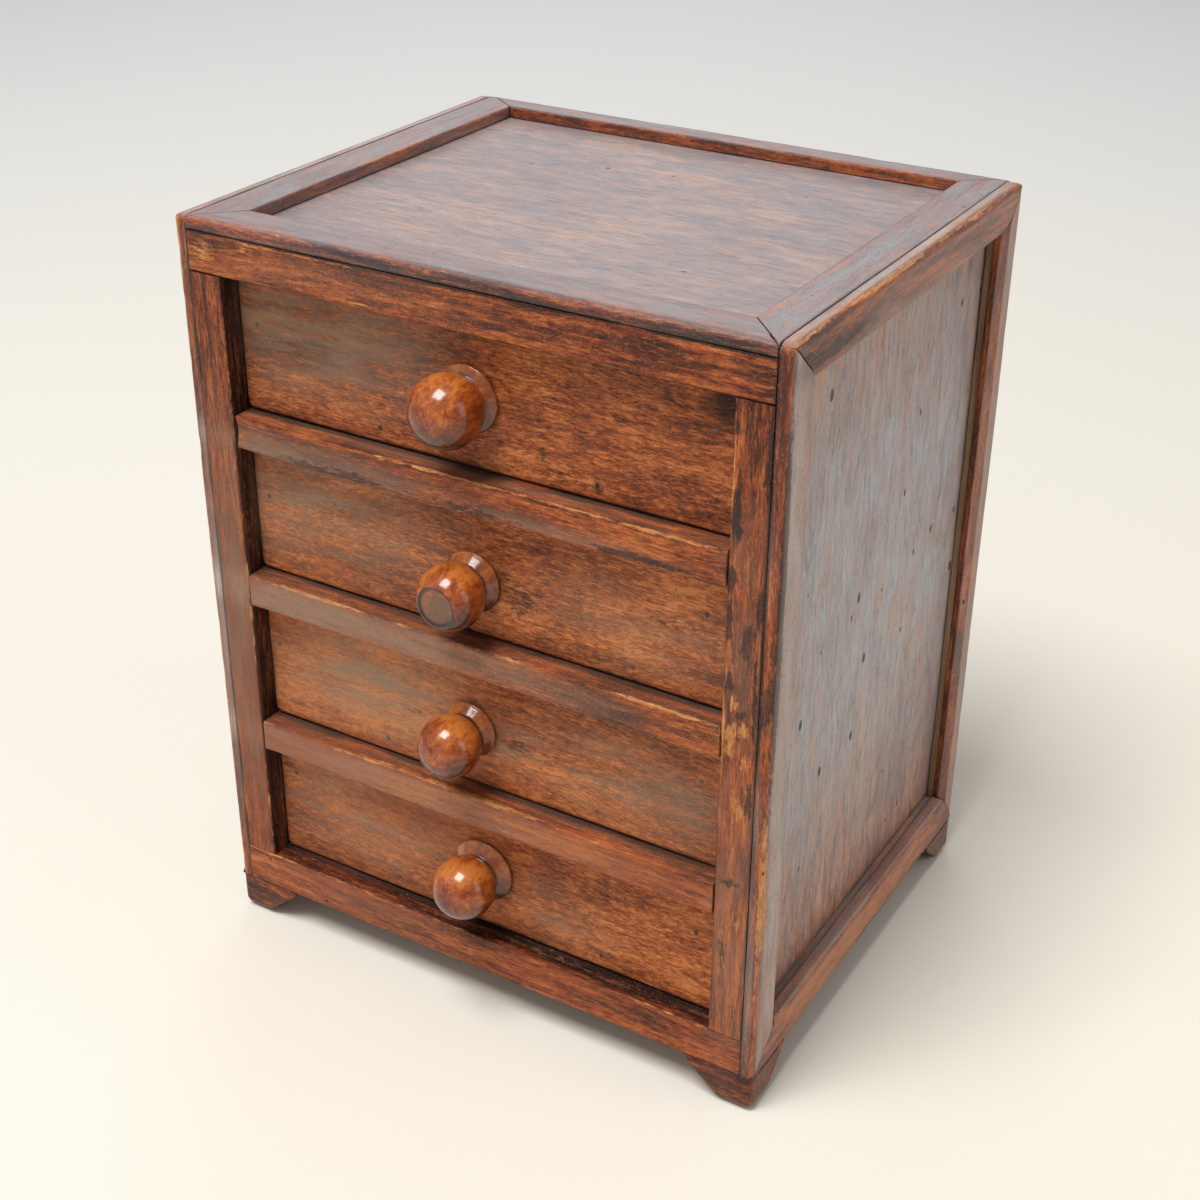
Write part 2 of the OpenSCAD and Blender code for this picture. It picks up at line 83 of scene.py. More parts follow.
class Finish:
    # Lays the nodes of one material and keeps the wires short to write

    def __init__(self, name):
        self.material = bpy.data.materials.new(name)
        self.material.use_nodes = True
        self.tree = self.material.node_tree
        self.shader = self.tree.nodes["Principled BSDF"]

    def put(self, kind, inputs=(), **settings):
        node = self.tree.nodes.new(kind)
        for key, value in settings.items():
            setattr(node, key, value)
        for key, value in dict(inputs).items():
            self.feed(node.inputs[key], value)
        return node

    def feed(self, socket, value):
        if isinstance(value, bpy.types.NodeSocket):
            self.tree.links.new(value, socket)
        elif value is not None:
            socket.default_value = value

    def math(self, how, a, b=0.0, clamp=False):
        return self.put("ShaderNodeMath", {0: a, 1: b}, operation=how, use_clamp=clamp).outputs[0]

    def sum(self, a, b, clamp=False):
        return self.math("ADD", a, b, clamp)

    def less(self, a, b):
        return self.math("SUBTRACT", a, b)

    def times(self, a, b):
        return self.math("MULTIPLY", a, b)

    def apart(self, a, b):
        return self.math("ABSOLUTE", self.less(a, b))

    def stretch(self, vector, scale):
        return self.put("ShaderNodeVectorMath", {0: vector, 1: scale}, operation="MULTIPLY").outputs[0]

    def noise(self, vector, scale, detail=2.0, rough=0.5, twist=0.0):
        node = self.put("ShaderNodeTexNoise", {
            "Vector": self.stretch(vector, scale), "Scale": 1.0, "Detail": detail,
            "Roughness": rough, "Distortion": twist})
        return node.outputs[0]

    def step(self, value, low, high, outLow=0.0, outHigh=1.0):
        return self.put("ShaderNodeMapRange", {
            0: value, 1: low, 2: high, 3: outLow, 4: outHigh}, interpolation_type="SMOOTHSTEP").outputs[0]

    def span(self, value, low, high, outLow=0.0, outHigh=1.0):
        return self.put("ShaderNodeMapRange", {
            0: value, 1: low, 2: high, 3: outLow, 4: outHigh}).outputs[0]

    def ramp(self, value, stops):
        node = self.put("ShaderNodeValToRGB", {0: value})
        bar = node.color_ramp.elements
        while len(bar) < len(stops):
            bar.new(0.5)
        for element, (place, colour) in zip(bar, stops):
            element.position = place
            element.color = (*colour, 1)
        return node.outputs[0]

    def blend(self, factor, a, b):
        node = self.put("ShaderNodeMix", data_type="RGBA", clamp_factor=True)
        self.feed(node.inputs[0], factor)
        for socket, value in ((node.inputs[6], a), (node.inputs[7], b)):
            self.feed(socket, (*value, 1) if isinstance(value, tuple) else value)
        return node.outputs[2]


def lacqueredWood(name, look):
    # Reads the layers of the mesh: grain, marks (wear, grime with painted shade, stain, and film with
    # painted sheen), shade and calm
    f = Finish(name)
    grain = f.put("ShaderNodeAttribute", attribute_name="grain").outputs["Vector"]
    marks = f.put("ShaderNodeAttribute", attribute_name="marks")
    parts = f.put("ShaderNodeSeparateColor", {0: marks.outputs["Color"]})
    wear, grimeAndShade, stain = parts.outputs
    filmAndSheen = marks.outputs["Alpha"]
    shade = f.put("ShaderNodeAttribute", attribute_name="shade").outputs["Fac"]
    calm = f.put("ShaderNodeAttribute", attribute_name="calm").outputs["Fac"]
    lively = f.span(calm, 0, 1, 1, 0)
    line = f.put("ShaderNodeSeparateXYZ", {0: grain}).outputs
    flat = f.put("ShaderNodeCombineXYZ", {0: line[0], 1: f.sum(line[1], line[2])}).outputs[0]

    # The grain wanders a little, so every streak does
    drift = f.put("ShaderNodeTexNoise", {"Vector": f.stretch(grain, (0.02, 0.05, 0.05)), "Scale": 1.0})
    push = f.put("ShaderNodeVectorMath", {0: drift.outputs[1], 1: (0.5, 0.5, 0.5)}, operation="SUBTRACT")
    wander = f.stretch(push.outputs[0], (0, look["wander"], look["wander"]))
    wavy = f.put("ShaderNodeVectorMath", {0: grain, 1: wander}).outputs[0]

    blotch = f.noise(wavy, look["blotch"], 3, 0.55, 0.2)
    figure = f.noise(wavy, look["figure"], 4, 0.62, 0.2)
    fibre = f.noise(wavy, look["fibre"], 3, 0.7)
    mottle = f.noise(grain, (0.35, 0.6, 0.6), 4, 0.6, 0.3)

    tone = f.sum(f.times(f.span(blotch, 0.3, 0.7), look["blotchShare"]),
                 f.times(f.span(figure, 0.3, 0.7), look["figureShare"]))
    tone = f.sum(tone, f.times(f.span(fibre, 0.28, 0.72), look["fibreShare"]))
    tone = f.sum(tone, f.times(f.span(mottle, 0.3, 0.7), look["mottleShare"]))
    spread = look["contrast"]
    tone = f.span(tone, 0.5 - 0.5 / spread, 0.5 + 0.5 / spread)
    tone = f.sum(f.times(f.less(tone, 0.5), lively), 0.5)
    colour = f.ramp(f.sum(f.sum(tone, look["lift"]), shade), look["tones"])

    # Thin dark veins along the fibre, each with a golden edge, and a few golden flecks
    fleck = f.step(fibre, 0.6, 0.74, 0, look["flecks"])
    colour = f.blend(fleck, colour, look["fleckColour"])
    course = f.noise(wavy, look["vein"], 4, 0.62)
    patchy = f.span(figure, 0.35, 0.62)
    pore = f.apart(course, 0.5)
    pore = f.step(pore, look["veinWidth"], 0.3 * look["veinWidth"])
    pore = f.times(pore, f.span(patchy, 0, 1, 1, 0.3))
    golden = f.apart(course, 0.5 + 1.8 * look["veinWidth"])
    golden = f.step(golden, look["veinWidth"], 0.2 * look["veinWidth"])
    golden = f.times(golden, f.span(patchy, 0, 1, 0.2, 1))
    colour = f.blend(f.times(f.times(golden, look["edges"]), lively), colour, look["fleckColour"])
    colour = f.blend(f.times(f.times(pore, look["veins"]), lively), colour, look["veinColour"])

    # Long dark streaks in the lacquer, ragged along the fibre
    streak = f.noise(wavy, look["streak"], 4, 0.65, 0.2)
    streak = f.sum(streak, f.times(f.less(fibre, 0.5), 0.3))
    streak = f.step(streak, look["streakFrom"], look["streakFrom"] + 0.07, 0, look["streaks"])
    colour = f.blend(f.times(streak, lively), colour, look["streakColour"])

    # Old stains, where the mesh says and a little at random
    ragged = f.noise(wavy, (0.06, 0.22, 0.22), 5, 0.62, 0.4)
    raggedOff = f.less(ragged, 0.5)
    crumbs = f.noise(grain, (0.35, 0.8, 0.8), 3, 0.65)
    stainHere = f.sum(stain, f.times(raggedOff, 1.6))
    stainHere = f.less(stainHere, f.times(f.less(fibre, 0.5), 0.9))
    stainHere = f.sum(stainHere, f.times(f.less(crumbs, 0.5), 1.6))
    stainHere = f.step(stainHere, 0.4, 0.82)
    soaked = f.blend(0.6, f.stretch(colour, (0.25, 0.25, 0.25)), look["stainColour"])
    colour = f.blend(f.times(stainHere, look["stains"]), colour, soaked)

    # Edges rubbed through to the wood
    chipped = f.noise(wavy, (0.2, 0.6, 0.6), 4, 0.65)
    stretches = f.noise(wavy, (0.022, 0.03, 0.03), 2)
    rub = f.times(wear, f.span(stretches, 0.36, 0.64, 0.25, 1.2))
    rub = f.sum(rub, f.times(f.less(chipped, 0.5), look["rubBreak"]))
    rub = f.sum(rub, f.times(f.less(fibre, 0.5), 0.9))
    rub = f.sum(rub, f.times(f.less(crumbs, 0.5), 1.1))
    rub = f.step(rub, 0.5, 1.0)
    rubbed = f.blend(f.span(fibre, 0.35, 0.65), look["rubDark"], look["rubLight"])
    colour = f.blend(f.times(rub, look["rubs"]), colour, rubbed)

    # Dirt in the corners and seams, and painted shade in the recesses and gaps
    dirtAndShade = f.sum(grimeAndShade, f.times(f.less(mottle, 0.5), 0.6))
    dirtAndShade = f.step(dirtAndShade, 0.25, 0.85)
    colour = f.blend(f.times(dirtAndShade, look["dirtAndShade"]), colour, look["dirtAndShadeColour"])

    # Fine scratches at an angle to the grain, and worm holes
    aslant = f.put("ShaderNodeVectorRotate", {"Vector": flat, "Angle": look["scratchTurn"]},
                   rotation_type="Z_AXIS").outputs[0]
    scratch = f.noise(aslant, (0.012, 1.3, 1.0), 2, 0.5, 0.0)
    scratch = f.step(scratch, 0.64, 0.72, 0, look["scratches"])
    hole = f.put("ShaderNodeTexVoronoi", {"Vector": f.stretch(flat, look["holeSpread"]), "Scale": 1.0},
                 voronoi_dimensions="2D")
    chance = f.put("ShaderNodeSeparateColor", {0: hole.outputs["Color"]}).outputs[0]
    size = f.span(chance, 1 - look["holes"], 1, 0, look["holeSize"])
    pit = f.step(f.less(hole.outputs["Distance"], size), -0.02, 0.012, 1, 0)
    pit = f.times(pit, f.step(chance, 1 - look["holes"], 1.02 - look["holes"]))

    # Dull film of polish and dust, partly a painted sheen that stands for reflected light, and fine specks
    # in it
    cloud = f.noise(wavy, look["cloud"], 4, 0.6)
    cloud = f.less(cloud, f.times(f.less(figure, 0.5), 0.5))
    cloud = f.less(cloud, f.times(f.less(fibre, 0.5), look["filmGrain"]))
    hazeAndSheen = f.times(filmAndSheen, f.span(cloud, 0.3, 0.7, 1 - look["cloudiness"], 1 + look["cloudiness"]))
    hazeAndSheen = f.times(hazeAndSheen, f.span(stainHere, 0, 1, 1, 0.35))
    colour = f.blend(hazeAndSheen, colour, look["filmAndSheenColour"])
    speck = f.noise(grain, (1.3, 2.3, 2.3), 2, 0.65)
    bright = f.step(speck, 0.6, 0.74, 0, 0.85 * look["specks"])
    dark = f.step(speck, 0.42, 0.3, 0, look["specks"])
    colour = f.blend(f.times(bright, lively), colour, look["fleckColour"])
    colour = f.blend(f.times(dark, lively), colour, look["veinColour"])
    colour = f.blend(scratch, colour, look["scratchColour"])
    colour = f.blend(f.times(pit, 0.92), colour, look["dirtAndShadeColour"])
    f.feed(f.shader.inputs["Base Color"], colour)

    # Duller where there is film and painted sheen, dirt and painted shade, or bare wood; the grain, chips
    # and holes are felt as well
    gloss = f.span(mottle, 0.3, 0.7, look["rough"] - 0.06, look["rough"] + 0.08)
    gloss = f.sum(gloss, f.times(hazeAndSheen, look["filmRough"]))
    gloss = f.sum(gloss, f.times(dirtAndShade, 0.18))
    gloss = f.sum(gloss, f.times(rub, 0.08), clamp=True)
    f.feed(f.shader.inputs["Roughness"], gloss)
    f.shader.inputs["Specular IOR Level"].default_value = look["shine"]
    f.shader.inputs["Coat Weight"].default_value = look["coat"]
    f.shader.inputs["Coat Roughness"].default_value = look["coatRough"]
    f.shader.inputs["Coat IOR"].default_value = look["coatBend"]

    height = f.sum(f.times(fibre, 0.5), f.times(figure, 0.35))
    height = f.sum(height, f.times(mottle, 0.35))
    height = f.less(height, f.times(pore, 0.5))
    height = f.less(height, f.times(rub, look["rubDepth"]))
    height = f.less(height, f.times(pit, 1.5))
    bump = f.put("ShaderNodeBump", {"Height": height, "Strength": look["bump"], "Distance": 0.35 * mm})
    f.feed(f.shader.inputs["Normal"], bump.outputs[0])
    return f.material


# Lacquer of the open front frame, and what the other finishes change in it. Noise sizes are per
# millimetre, along the grain and then twice across it; a share says how much of the tone it makes
frontLacquer = {
    "tones": [(0.0, (0.012, 0.006, 0.006)), (0.25, (0.052, 0.012, 0.008)), (0.5, (0.155, 0.030, 0.010)),
              (0.75, (0.33, 0.070, 0.016)), (1.0, (0.50, 0.15, 0.036))],
    "wander": 4.0, "lift": 0.09, "contrast": 1.6,
    "blotch": (0.022, 0.08, 0.08), "blotchShare": 0.2,
    "figure": (0.04, 0.36, 0.36), "figureShare": 0.4,
    "fibre": (0.22, 1.3, 1.3), "fibreShare": 0.3, "mottleShare": 0.16,
    "flecks": 0.3, "fleckColour": (0.60, 0.215, 0.068),
    "vein": (0.045, 0.6, 0.6), "veinWidth": 0.028, "veins": 0.75, "edges": 0.45,
    "veinColour": (0.03, 0.014, 0.012), "specks": 0.68,
    "streak": (0.05, 0.34, 0.34), "streakFrom": 0.59, "streaks": 0.6,
    "streakColour": (0.035, 0.016, 0.013),
    "stains": 0.9, "stainColour": (0.020, 0.018, 0.023),
    "rubs": 0.9, "rubBreak": 1.2, "rubDark": (0.40, 0.135, 0.035), "rubLight": (0.66, 0.31, 0.10),
    "dirtAndShade": 0.92, "dirtAndShadeColour": (0.014, 0.009, 0.008),
    "cloud": (0.03, 0.2, 0.2), "cloudiness": 0.4, "filmAndSheenColour": (0.30, 0.172, 0.115),
    "filmGrain": 0.5,
    "scratches": 0.0, "scratchTurn": 0.6, "scratchColour": (0.30, 0.22, 0.18),
    "holes": 0.12, "holeSpread": (0.04, 0.06, 1), "holeSize": 0.04,
    "rough": 0.36, "filmRough": 0.12, "shine": 0.16, "coat": 0.12, "coatRough": 0.16, "coatBend": 1.5,
    "rubDepth": 0.6, "bump": 0.6,
}
# The pale grey film colours of the outer finishes and panels are dull film and a painted sheen of
# reflected light
outerLacquer = {
    **frontLacquer, "lift": 0.05, "rough": 0.42, "filmAndSheenColour": (0.26, 0.242, 0.254), "coat": 0.12,
    "coatRough": 0.3, "shine": 0.5, "scratches": 0.15,
}
sideLacquer = {**outerLacquer, "filmAndSheenColour": (0.50, 0.44, 0.405), "shine": 0.3}
drawerLacquer = {
    **frontLacquer,
    "tones": [(0.0, (0.028, 0.013, 0.010)), (0.25, (0.088, 0.024, 0.013)), (0.5, (0.215, 0.053, 0.020)),
              (0.75, (0.415, 0.112, 0.033)), (1.0, (0.63, 0.22, 0.068))],
    "lift": 0.15, "contrast": 1.8, "blotch": (0.02, 0.05, 0.05), "blotchShare": 0.24,
    "figure": (0.05, 0.3, 0.3), "figureShare": 0.2, "fibre": (0.32, 1.4, 1.4), "fibreShare": 0.4,
    "mottleShare": 0.16, "flecks": 0.4, "streaks": 0.5, "rough": 0.45, "holes": 0.0,
    "vein": (0.07, 0.7, 0.7), "veins": 0.45, "edges": 0.4, "veinColour": (0.05, 0.024, 0.018),
    "streakFrom": 0.61, "coat": 0.04, "coatRough": 0.3, "bump": 0.5, "shine": 0.14, "stains": 0.72,
    "filmAndSheenColour": (0.29, 0.195, 0.13), "cloudiness": 0.75, "specks": 0.74,
}
panelLacquer = {
    **outerLacquer,
    "tones": [(0.0, (0.08, 0.03, 0.02)), (0.25, (0.16, 0.05, 0.028)), (0.5, (0.28, 0.095, 0.040)),
              (0.75, (0.46, 0.17, 0.06)), (1.0, (0.66, 0.29, 0.11))],
    "contrast": 1.7, "blotch": (0.02, 0.045, 0.045), "blotchShare": 0.26,
    "figure": (0.06, 0.3, 0.3), "figureShare": 0.3, "fibre": (0.25, 1.4, 1.4), "fibreShare": 0.3,
    "cloud": (0.05, 0.13, 0.13), "cloudiness": 0.12, "filmAndSheenColour": (0.27, 0.303, 0.342),
    "streaks": 0.25, "scratches": 0.3, "filmGrain": 0.3, "veins": 0.5, "edges": 0.5, "specks": 0.2,
}
sidePanelLacquer = {
    **panelLacquer, "filmAndSheenColour": (0.425, 0.435, 0.46), "cloudiness": 0.34, "filmGrain": 0.7,
    "bump": 1.3, "specks": 0.4, "holes": 0.42, "holeSpread": (0.036, 0.062, 1), "holeSize": 0.075,
}
knobLacquer = {
    **frontLacquer,
    "tones": [(0.0, (0.03, 0.005, 0.002)), (0.25, (0.09, 0.014, 0.003)), (0.5, (0.20, 0.034, 0.005)),
              (0.75, (0.36, 0.075, 0.010)), (1.0, (0.54, 0.16, 0.03))],
    "lift": 0.04, "contrast": 1.35, "fleckColour": (0.58, 0.20, 0.03),
    "blotch": (0.08, 0.11, 0.11), "blotchShare": 0.45, "figure": (0.1, 0.5, 0.5), "figureShare": 0.25,
    "fibre": (0.7, 1.3, 1.3), "mottleShare": 0.2, "fibreShare": 0.18, "flecks": 0.2, "streaks": 0.15,
    "streak": (0.1, 0.2, 0.2), "stainColour": (0.06, 0.012, 0.004), "stains": 0.7, "holes": 0.0,
    "filmAndSheenColour": (0.17, 0.088, 0.045), "rubLight": (0.5, 0.36, 0.24), "rubDark": (0.3, 0.14, 0.06),
    "rough": 0.36, "shine": 0.06, "coat": 1.0, "coatRough": 0.17, "coatBend": 1.56, "bump": 0.2,
    "veins": 0.15, "edges": 0.15, "specks": 0.25,
}
pegLacquer = {
    **frontLacquer,
    "tones": [(0.0, (0.02, 0.014, 0.012)), (0.5, (0.05, 0.03, 0.024)), (1.0, (0.12, 0.08, 0.06))],
    "flecks": 0.1, "coat": 0.05, "rough": 0.5, "dirtAndShade": 0.7, "holes": 0.0,
}
knobWood = lacqueredWood("knobWood", knobLacquer)
pegWood = lacqueredWood("pegWood", pegLacquer)
frontWood = lacqueredWood("frontFrameWood", frontLacquer)
outerWood = lacqueredWood("outerFrameWood", outerLacquer)
sideWood = lacqueredWood("sideFrameWood", sideLacquer)
drawerWood = lacqueredWood("drawerFrontWood", drawerLacquer)
panelWood = lacqueredWood("topPanelWood", panelLacquer)
sidePanelWood = lacqueredWood("sidePanelWood", sidePanelLacquer)
print("finishes made")

# How much the surface is worn down, and how wide each kind of wear is
weather = {"roll": 0.22, "rollSize": 45.0, "ripple": 0.05, "rippleSize": 5.0, "chip": 0.2,
           "chipSize": 10.0, "chipFrom": 0.18, "chipFull": 0.48, "grimeSize": 16.0}
# The grime channel holds painted shade as well as dirt, the film channel painted sheen as well as dull
# film
channels = {"wear": 0, "grimeAndShade": 1, "stain": 2, "filmAndSheen": 3}

front = frontY                                      # short names for the two planes marked below
face = drawerY

# Marks on the wood: channel, middle, reach each way and strength
placedMarks = [
    # Right stile: blackened patches beside the openings and along the seam
    ("stain", (93.5, front, 249), (3, 4, 4), 1.1), ("stain", (94, front, 223), (2.6, 4, 14), 1.4),
    ("stain", (95.5, front, 216.5), (3.6, 4, 5), 1.2), ("stain", (93.8, front, 201), (2.6, 4, 10), 1.45),
    ("stain", (93.6, front, 187), (2.6, 4, 13), 1.4), ("stain", (103.6, front, 195), (2.8, 4, 15), 1.25),
    ("stain", (103.8, front, 240), (1.9, 4, 24), 1.2), ("stain", (95, front, 167), (3, 4, 8), 1.2),
    ("stain", (99.8, front, 181), (3.2, 4, 12), 1.15), ("stain", (103.3, front, 164), (2.0, 4, 32), 1.15),
    ("stain", (103, front, 126), (2.6, 4, 13), 1.2), ("stain", (96.2, front, 133.6), (2.2, 4, 2), 1.2),
    # Rubbed places on the front
    ("wear", (98.5, front, 122), (6, 4, 13), 1.15), ("wear", (92.6, front, 150), (1.6, 3, 34), 1.6),
    ("wear", (92.6, front, 230), (1.3, 3, 22), 1.4), ("stain", (98, front, 92.5), (7, 4, 1.1), 1.2),
    ("stain", (96.5, front, 62), (3, 4, 20), 0.8), ("stain", (101.5, front, 40), (2.2, 4, 14), 0.9),
    ("wear", (100, front, 78), (5, 4, 12), 0.95), ("wear", (97, front, 24), (8, 4, 4), 0.9),
    # The front corner of the right side: black above, rubbed below
    ("wear", (110, front + 1, 195), (5, 6, 105), -1.3),
    ("stain", (110, front + 1.2, 190), (1.9, 3.4, 110), 1.7),
    ("grimeAndShade", (105, front, 200), (1.8, 4, 210), 0.95),
    # Golden chips and cracks round the middle of the right stile
    ("wear", (96.5, front, 160), (3.4, 4, 8), 1.15), ("wear", (100, front, 151), (5, 4, 6), 0.9),
    ("wear", (95.5, front, 145), (2.6, 4, 13), 1.5), ("wear", (100.5, front, 139), (4.5, 4, 5), 1.3),
    ("stain", (98.5, front, 156.2), (3.4, 4, 2.4), 1.2),
    ("stain", (97.5, front, 147.6), (2.6, 4, 1.6), 1.2),
    # Pale top edge of the front of the top and the pale slope under the right rail: dull film and a
    # painted sheen where the light catches them
    ("filmAndSheen", (0, front + 3, 277.5), (150, 3, 1.4), 0.7),
    ("filmAndSheen", (109.4, 20, sideTopZ + 1.9), (3, 110, 2.4), 0.35),
    ("filmAndSheen", (110, -58, 268), (5, 40, 9), -0.4),
    # Rubbed lower front corner of the right side, rubbed upper left of the head rail
    ("wear", (109.5, front + 1, 86), (3, 4, 22), 1.3), ("wear", (109.5, front + 1, 55), (2.5, 4, 32), 1.1),
    ("wear", (-99, front, 266), (9, 4, 8), 3.0), ("wear", (-62, front, 271.2), (36, 4, 1.5), 3.4),
    ("wear", (-80, front, 269), (9, 4, 3), 2.6), ("wear", (-45, front, 260), (60, 3, 1.2), 1.3),
    # Upper edge of the right side
    ("wear", (109.4, -10, 276.6), (1.6, 180, 1.6), 3.4),
    # Dark lower half of the upper divider, dust on its ledge, rubbed edges of the dividers
    ("stain", (-55, front, 199.5), (50, 4, 5), 0.75), ("stain", (5, front, 199.5), (40, 4, 4.5), 0.8),
    ("stain", (62, front, 199.3), (28, 4, 2.6), 1.1), ("filmAndSheen", (0, front + 4, 210), (110, 5, 4), 0.5),
    ("wear", (0, front + 1, 90), (100, 3, 1.6), 1.2),
    ("wear", (20, front + 0.4, 209.8), (85, 1.4, 1.2), 1.8),
    # Smudges on the drawer fronts
    ("stain", (68.5, face, 250), (9, 3, 4), 0.85), ("stain", (60, face, 245), (8, 3, 4), 0.8),
    ("stain", (52, face, 239), (8, 3, 3.5), 0.75), ("stain", (44, face, 233), (6, 3, 3.5), 0.7),
    ("stain", (27, face, 240), (7, 3, 6), 0.6), ("stain", (60, face, 255.5), (50, 3, 3.2), 0.8),
    ("stain", (78, face, 233.6), (3.5, 3, 3.5), 0.8), ("stain", (24, face, 221), (3.5, 3, 6), 0.75),
    ("stain", (32, face, 216.5), (11, 3, 3.5), 0.8), ("stain", (44, face, 215), (6, 3, 3), 0.8),
    ("stain", (-79, face, 238), (5, 3, 3), 0.7), ("stain", (70, face, 176), (14, 3, 5), 0.65),
    ("stain", (16, face, 168), (13, 3, 11), 0.8), ("stain", (12, face, 110), (12, 3, 8), 0.8),
    ("stain", (-28, face, 110), (8, 3, 7), 0.65), ("stain", (-22, face, 48), (8, 3, 9), 0.65),
    # The grime mark at the right end of the upper drawer, under the head rail, is dirt and a painted
    # shadow
    ("stain", (40, face, 52), (10, 3, 10), 0.6), ("grimeAndShade", (87, face, 252), (19, 3, 16), 0.8),
    # Dull film on the drawer fronts
    ("filmAndSheen", (-60, face, 242), (75, 3, 34), 0.56), ("filmAndSheen", (9, face, 107), (10, 3, 8), 0.6),
    ("filmAndSheen", (-70, face, 178), (90, 3, 40), 0.5), ("filmAndSheen", (60, face, 170), (70, 3, 30), 0.28),
    ("filmAndSheen", (-50, face, 115), (80, 3, 36), 0.62), ("filmAndSheen", (60, face, 110), (60, 3, 36), 0.45),
    ("filmAndSheen", (-60, face, 55), (80, 3, 40), 0.4),
    # Dull film on the stiles, rails and dividers
    ("filmAndSheen", (98, front, 165), (14, 3, 60), 0.3), ("filmAndSheen", (98, front, 70), (14, 3, 85), 0.52),
    # The film mark on the right member of the top is dull film and painted sheen
    ("filmAndSheen", (-50, front, 265), (90, 3, 18), 0.2), ("filmAndSheen", (100, 10, 277.5), (10, 95, 5), 0.95),
    ("filmAndSheen", (-70, front, 201), (110, 3, 10), 0.6), ("filmAndSheen", (-60, front, 144), (170, 3, 18), 0.98),
    ("filmAndSheen", (-60, front, 84), (200, 3, 18), 0.6), ("filmAndSheen", (-99, front, 130), (20, 3, 125), 0.55),
    ("filmAndSheen", (-50, front, 22), (60, 3, 18), 0.2), ("filmAndSheen", (108, front, 190), (4, 1.6, 125), -1),
    ("filmAndSheen", (107, front, 55), (4, 1.6, 60), 0.25),
    ("filmAndSheen", (98, front, 118), (14, 3, 32), 0.42), ("filmAndSheen", (98, front, 208), (14, 3, 30), 0.22),
    ("filmAndSheen", (15, face, 112), (25, 3, 20), 0.35), ("filmAndSheen", (30, face, 45), (35, 3, 22), 0.28),
    ("filmAndSheen", (30, front, 200), (70, 3, 5), 0.5), ("filmAndSheen", (panelHigh[0], 88, 200), (4, 9, 120), -0.5),
    ("filmAndSheen", (0, front, 7), (140, 3, 9), 0.3),
]

# Lighter and darker places: middle, reach each way and change of tone
placedShades = [
    # Stiles
    ((99, front, 235), (12, 4, 75), -0.2), ((99, front, 60), (9, 4, 55), 0.12),
    ((98, front, 45), (12, 4, 30), -0.18), ((98, front, 125), (10, 4, 26), 0.12),
    ((-99, front, 235), (14, 4, 60), -0.14), ((-97, front, 140), (14, 4, 90), -0.05),
    # Head rail, dividers and sill rail
    ((70, front, 265), (70, 4, 14), -0.13), ((40, front, 207), (90, 4, 5), 0.16),
    ((-40, front, 202), (120, 6, 12), -0.2), ((50, front, 144), (60, 4, 10), -0.28),
    ((0, front, 84), (150, 6, 12), 0.28), ((-90, front, 21), (34, 4, 14), 0.2),
    ((30, front, 22), (80, 4, 14), 0.02), ((-70, front, 22), (40, 4, 10), 0.12),
    ((20, front + 5, 30), (120, 6, 1.5), -0.45),
    # Drawer fronts
    ((-60, face, 236), (75, 3, 40), -0.26), ((60, face, 236), (60, 3, 34), 0.06),
    ((-50, face, 221), (45, 3, 13), 0.3), ((75, face, 226), (34, 3, 24), -0.2),
    ((-45, face, 178), (80, 3, 40), 0.05), ((60, face, 170), (60, 3, 30), 0.04),
    ((85, face, 172), (30, 3, 26), -0.1), ((-45, face, 115), (80, 3, 40), 0.38),
    ((60, face, 110), (60, 3, 40), 0.12), ((-60, face, 55), (80, 3, 40), 0.04),
    # Top frame and right side
    ((0, front, 274), (150, 4, 3.8), -0.34), ((110, 8, 270), (6, 95, 7), -0.04),
    ((110, -55, 269), (6, 60, 9), -0.42), ((110, 8, 22), (6, 95, 9), 1.0),
    ((108, front, 60), (3.5, 2, 60), 0.14), ((panelHigh[0], 88, 170), (4, 10, 130), 0.15),
]

# Places where the grain is quiet: middle, reach each way and how quiet
placedCalm = [
    ((-70, front, 95), (80, 6, 125), 0.85), ((40, front, 75), (95, 6, 95), 0.5),
    ((-70, face, 130), (70, 3, 50), 0.4), ((-30, face, 70), (90, 3, 70), 0.45),
]

# Places where a piece is knocked or pulled away: piece, middle, reach each way and push
knocks = [
    ("top_frame_right", (104.9, -62, 276), (1.6, 48, 6), (-0.4, 0, -0.2)),
    ("top_frame_right", (104.9, -5, 276), (1.4, 60, 6), (-0.22, 0, -0.12)),
    ("top_frame_front", (101.5, -76.5, 276.5), (3, 7, 4), (-0.3, -0.25, -0.15)),
    ("divider_rail_1", (-90, frontY, 204), (13, 6, 10), (0, 1.6, 0.3)),
]
softCorners = {"side": 3.6, "nose": 2.8, "back": 2.6}  # arcs of the upper corners, seen from the side


def fade(distance):
    # 1 in the middle, 0 at one reach and beyond
    t = np.clip(1 - distance, 0, 1)
    return t * t * (3 - 2 * t)


def reachOf(points, middle, reach):
    return np.linalg.norm((points - np.array(middle)) / np.array(reach), axis=1)


def noiseAt(points, size, shift=0.0):
    return np.array([noise.noise(Vector(p / size) + Vector((shift, 0, 0))) for p in points])


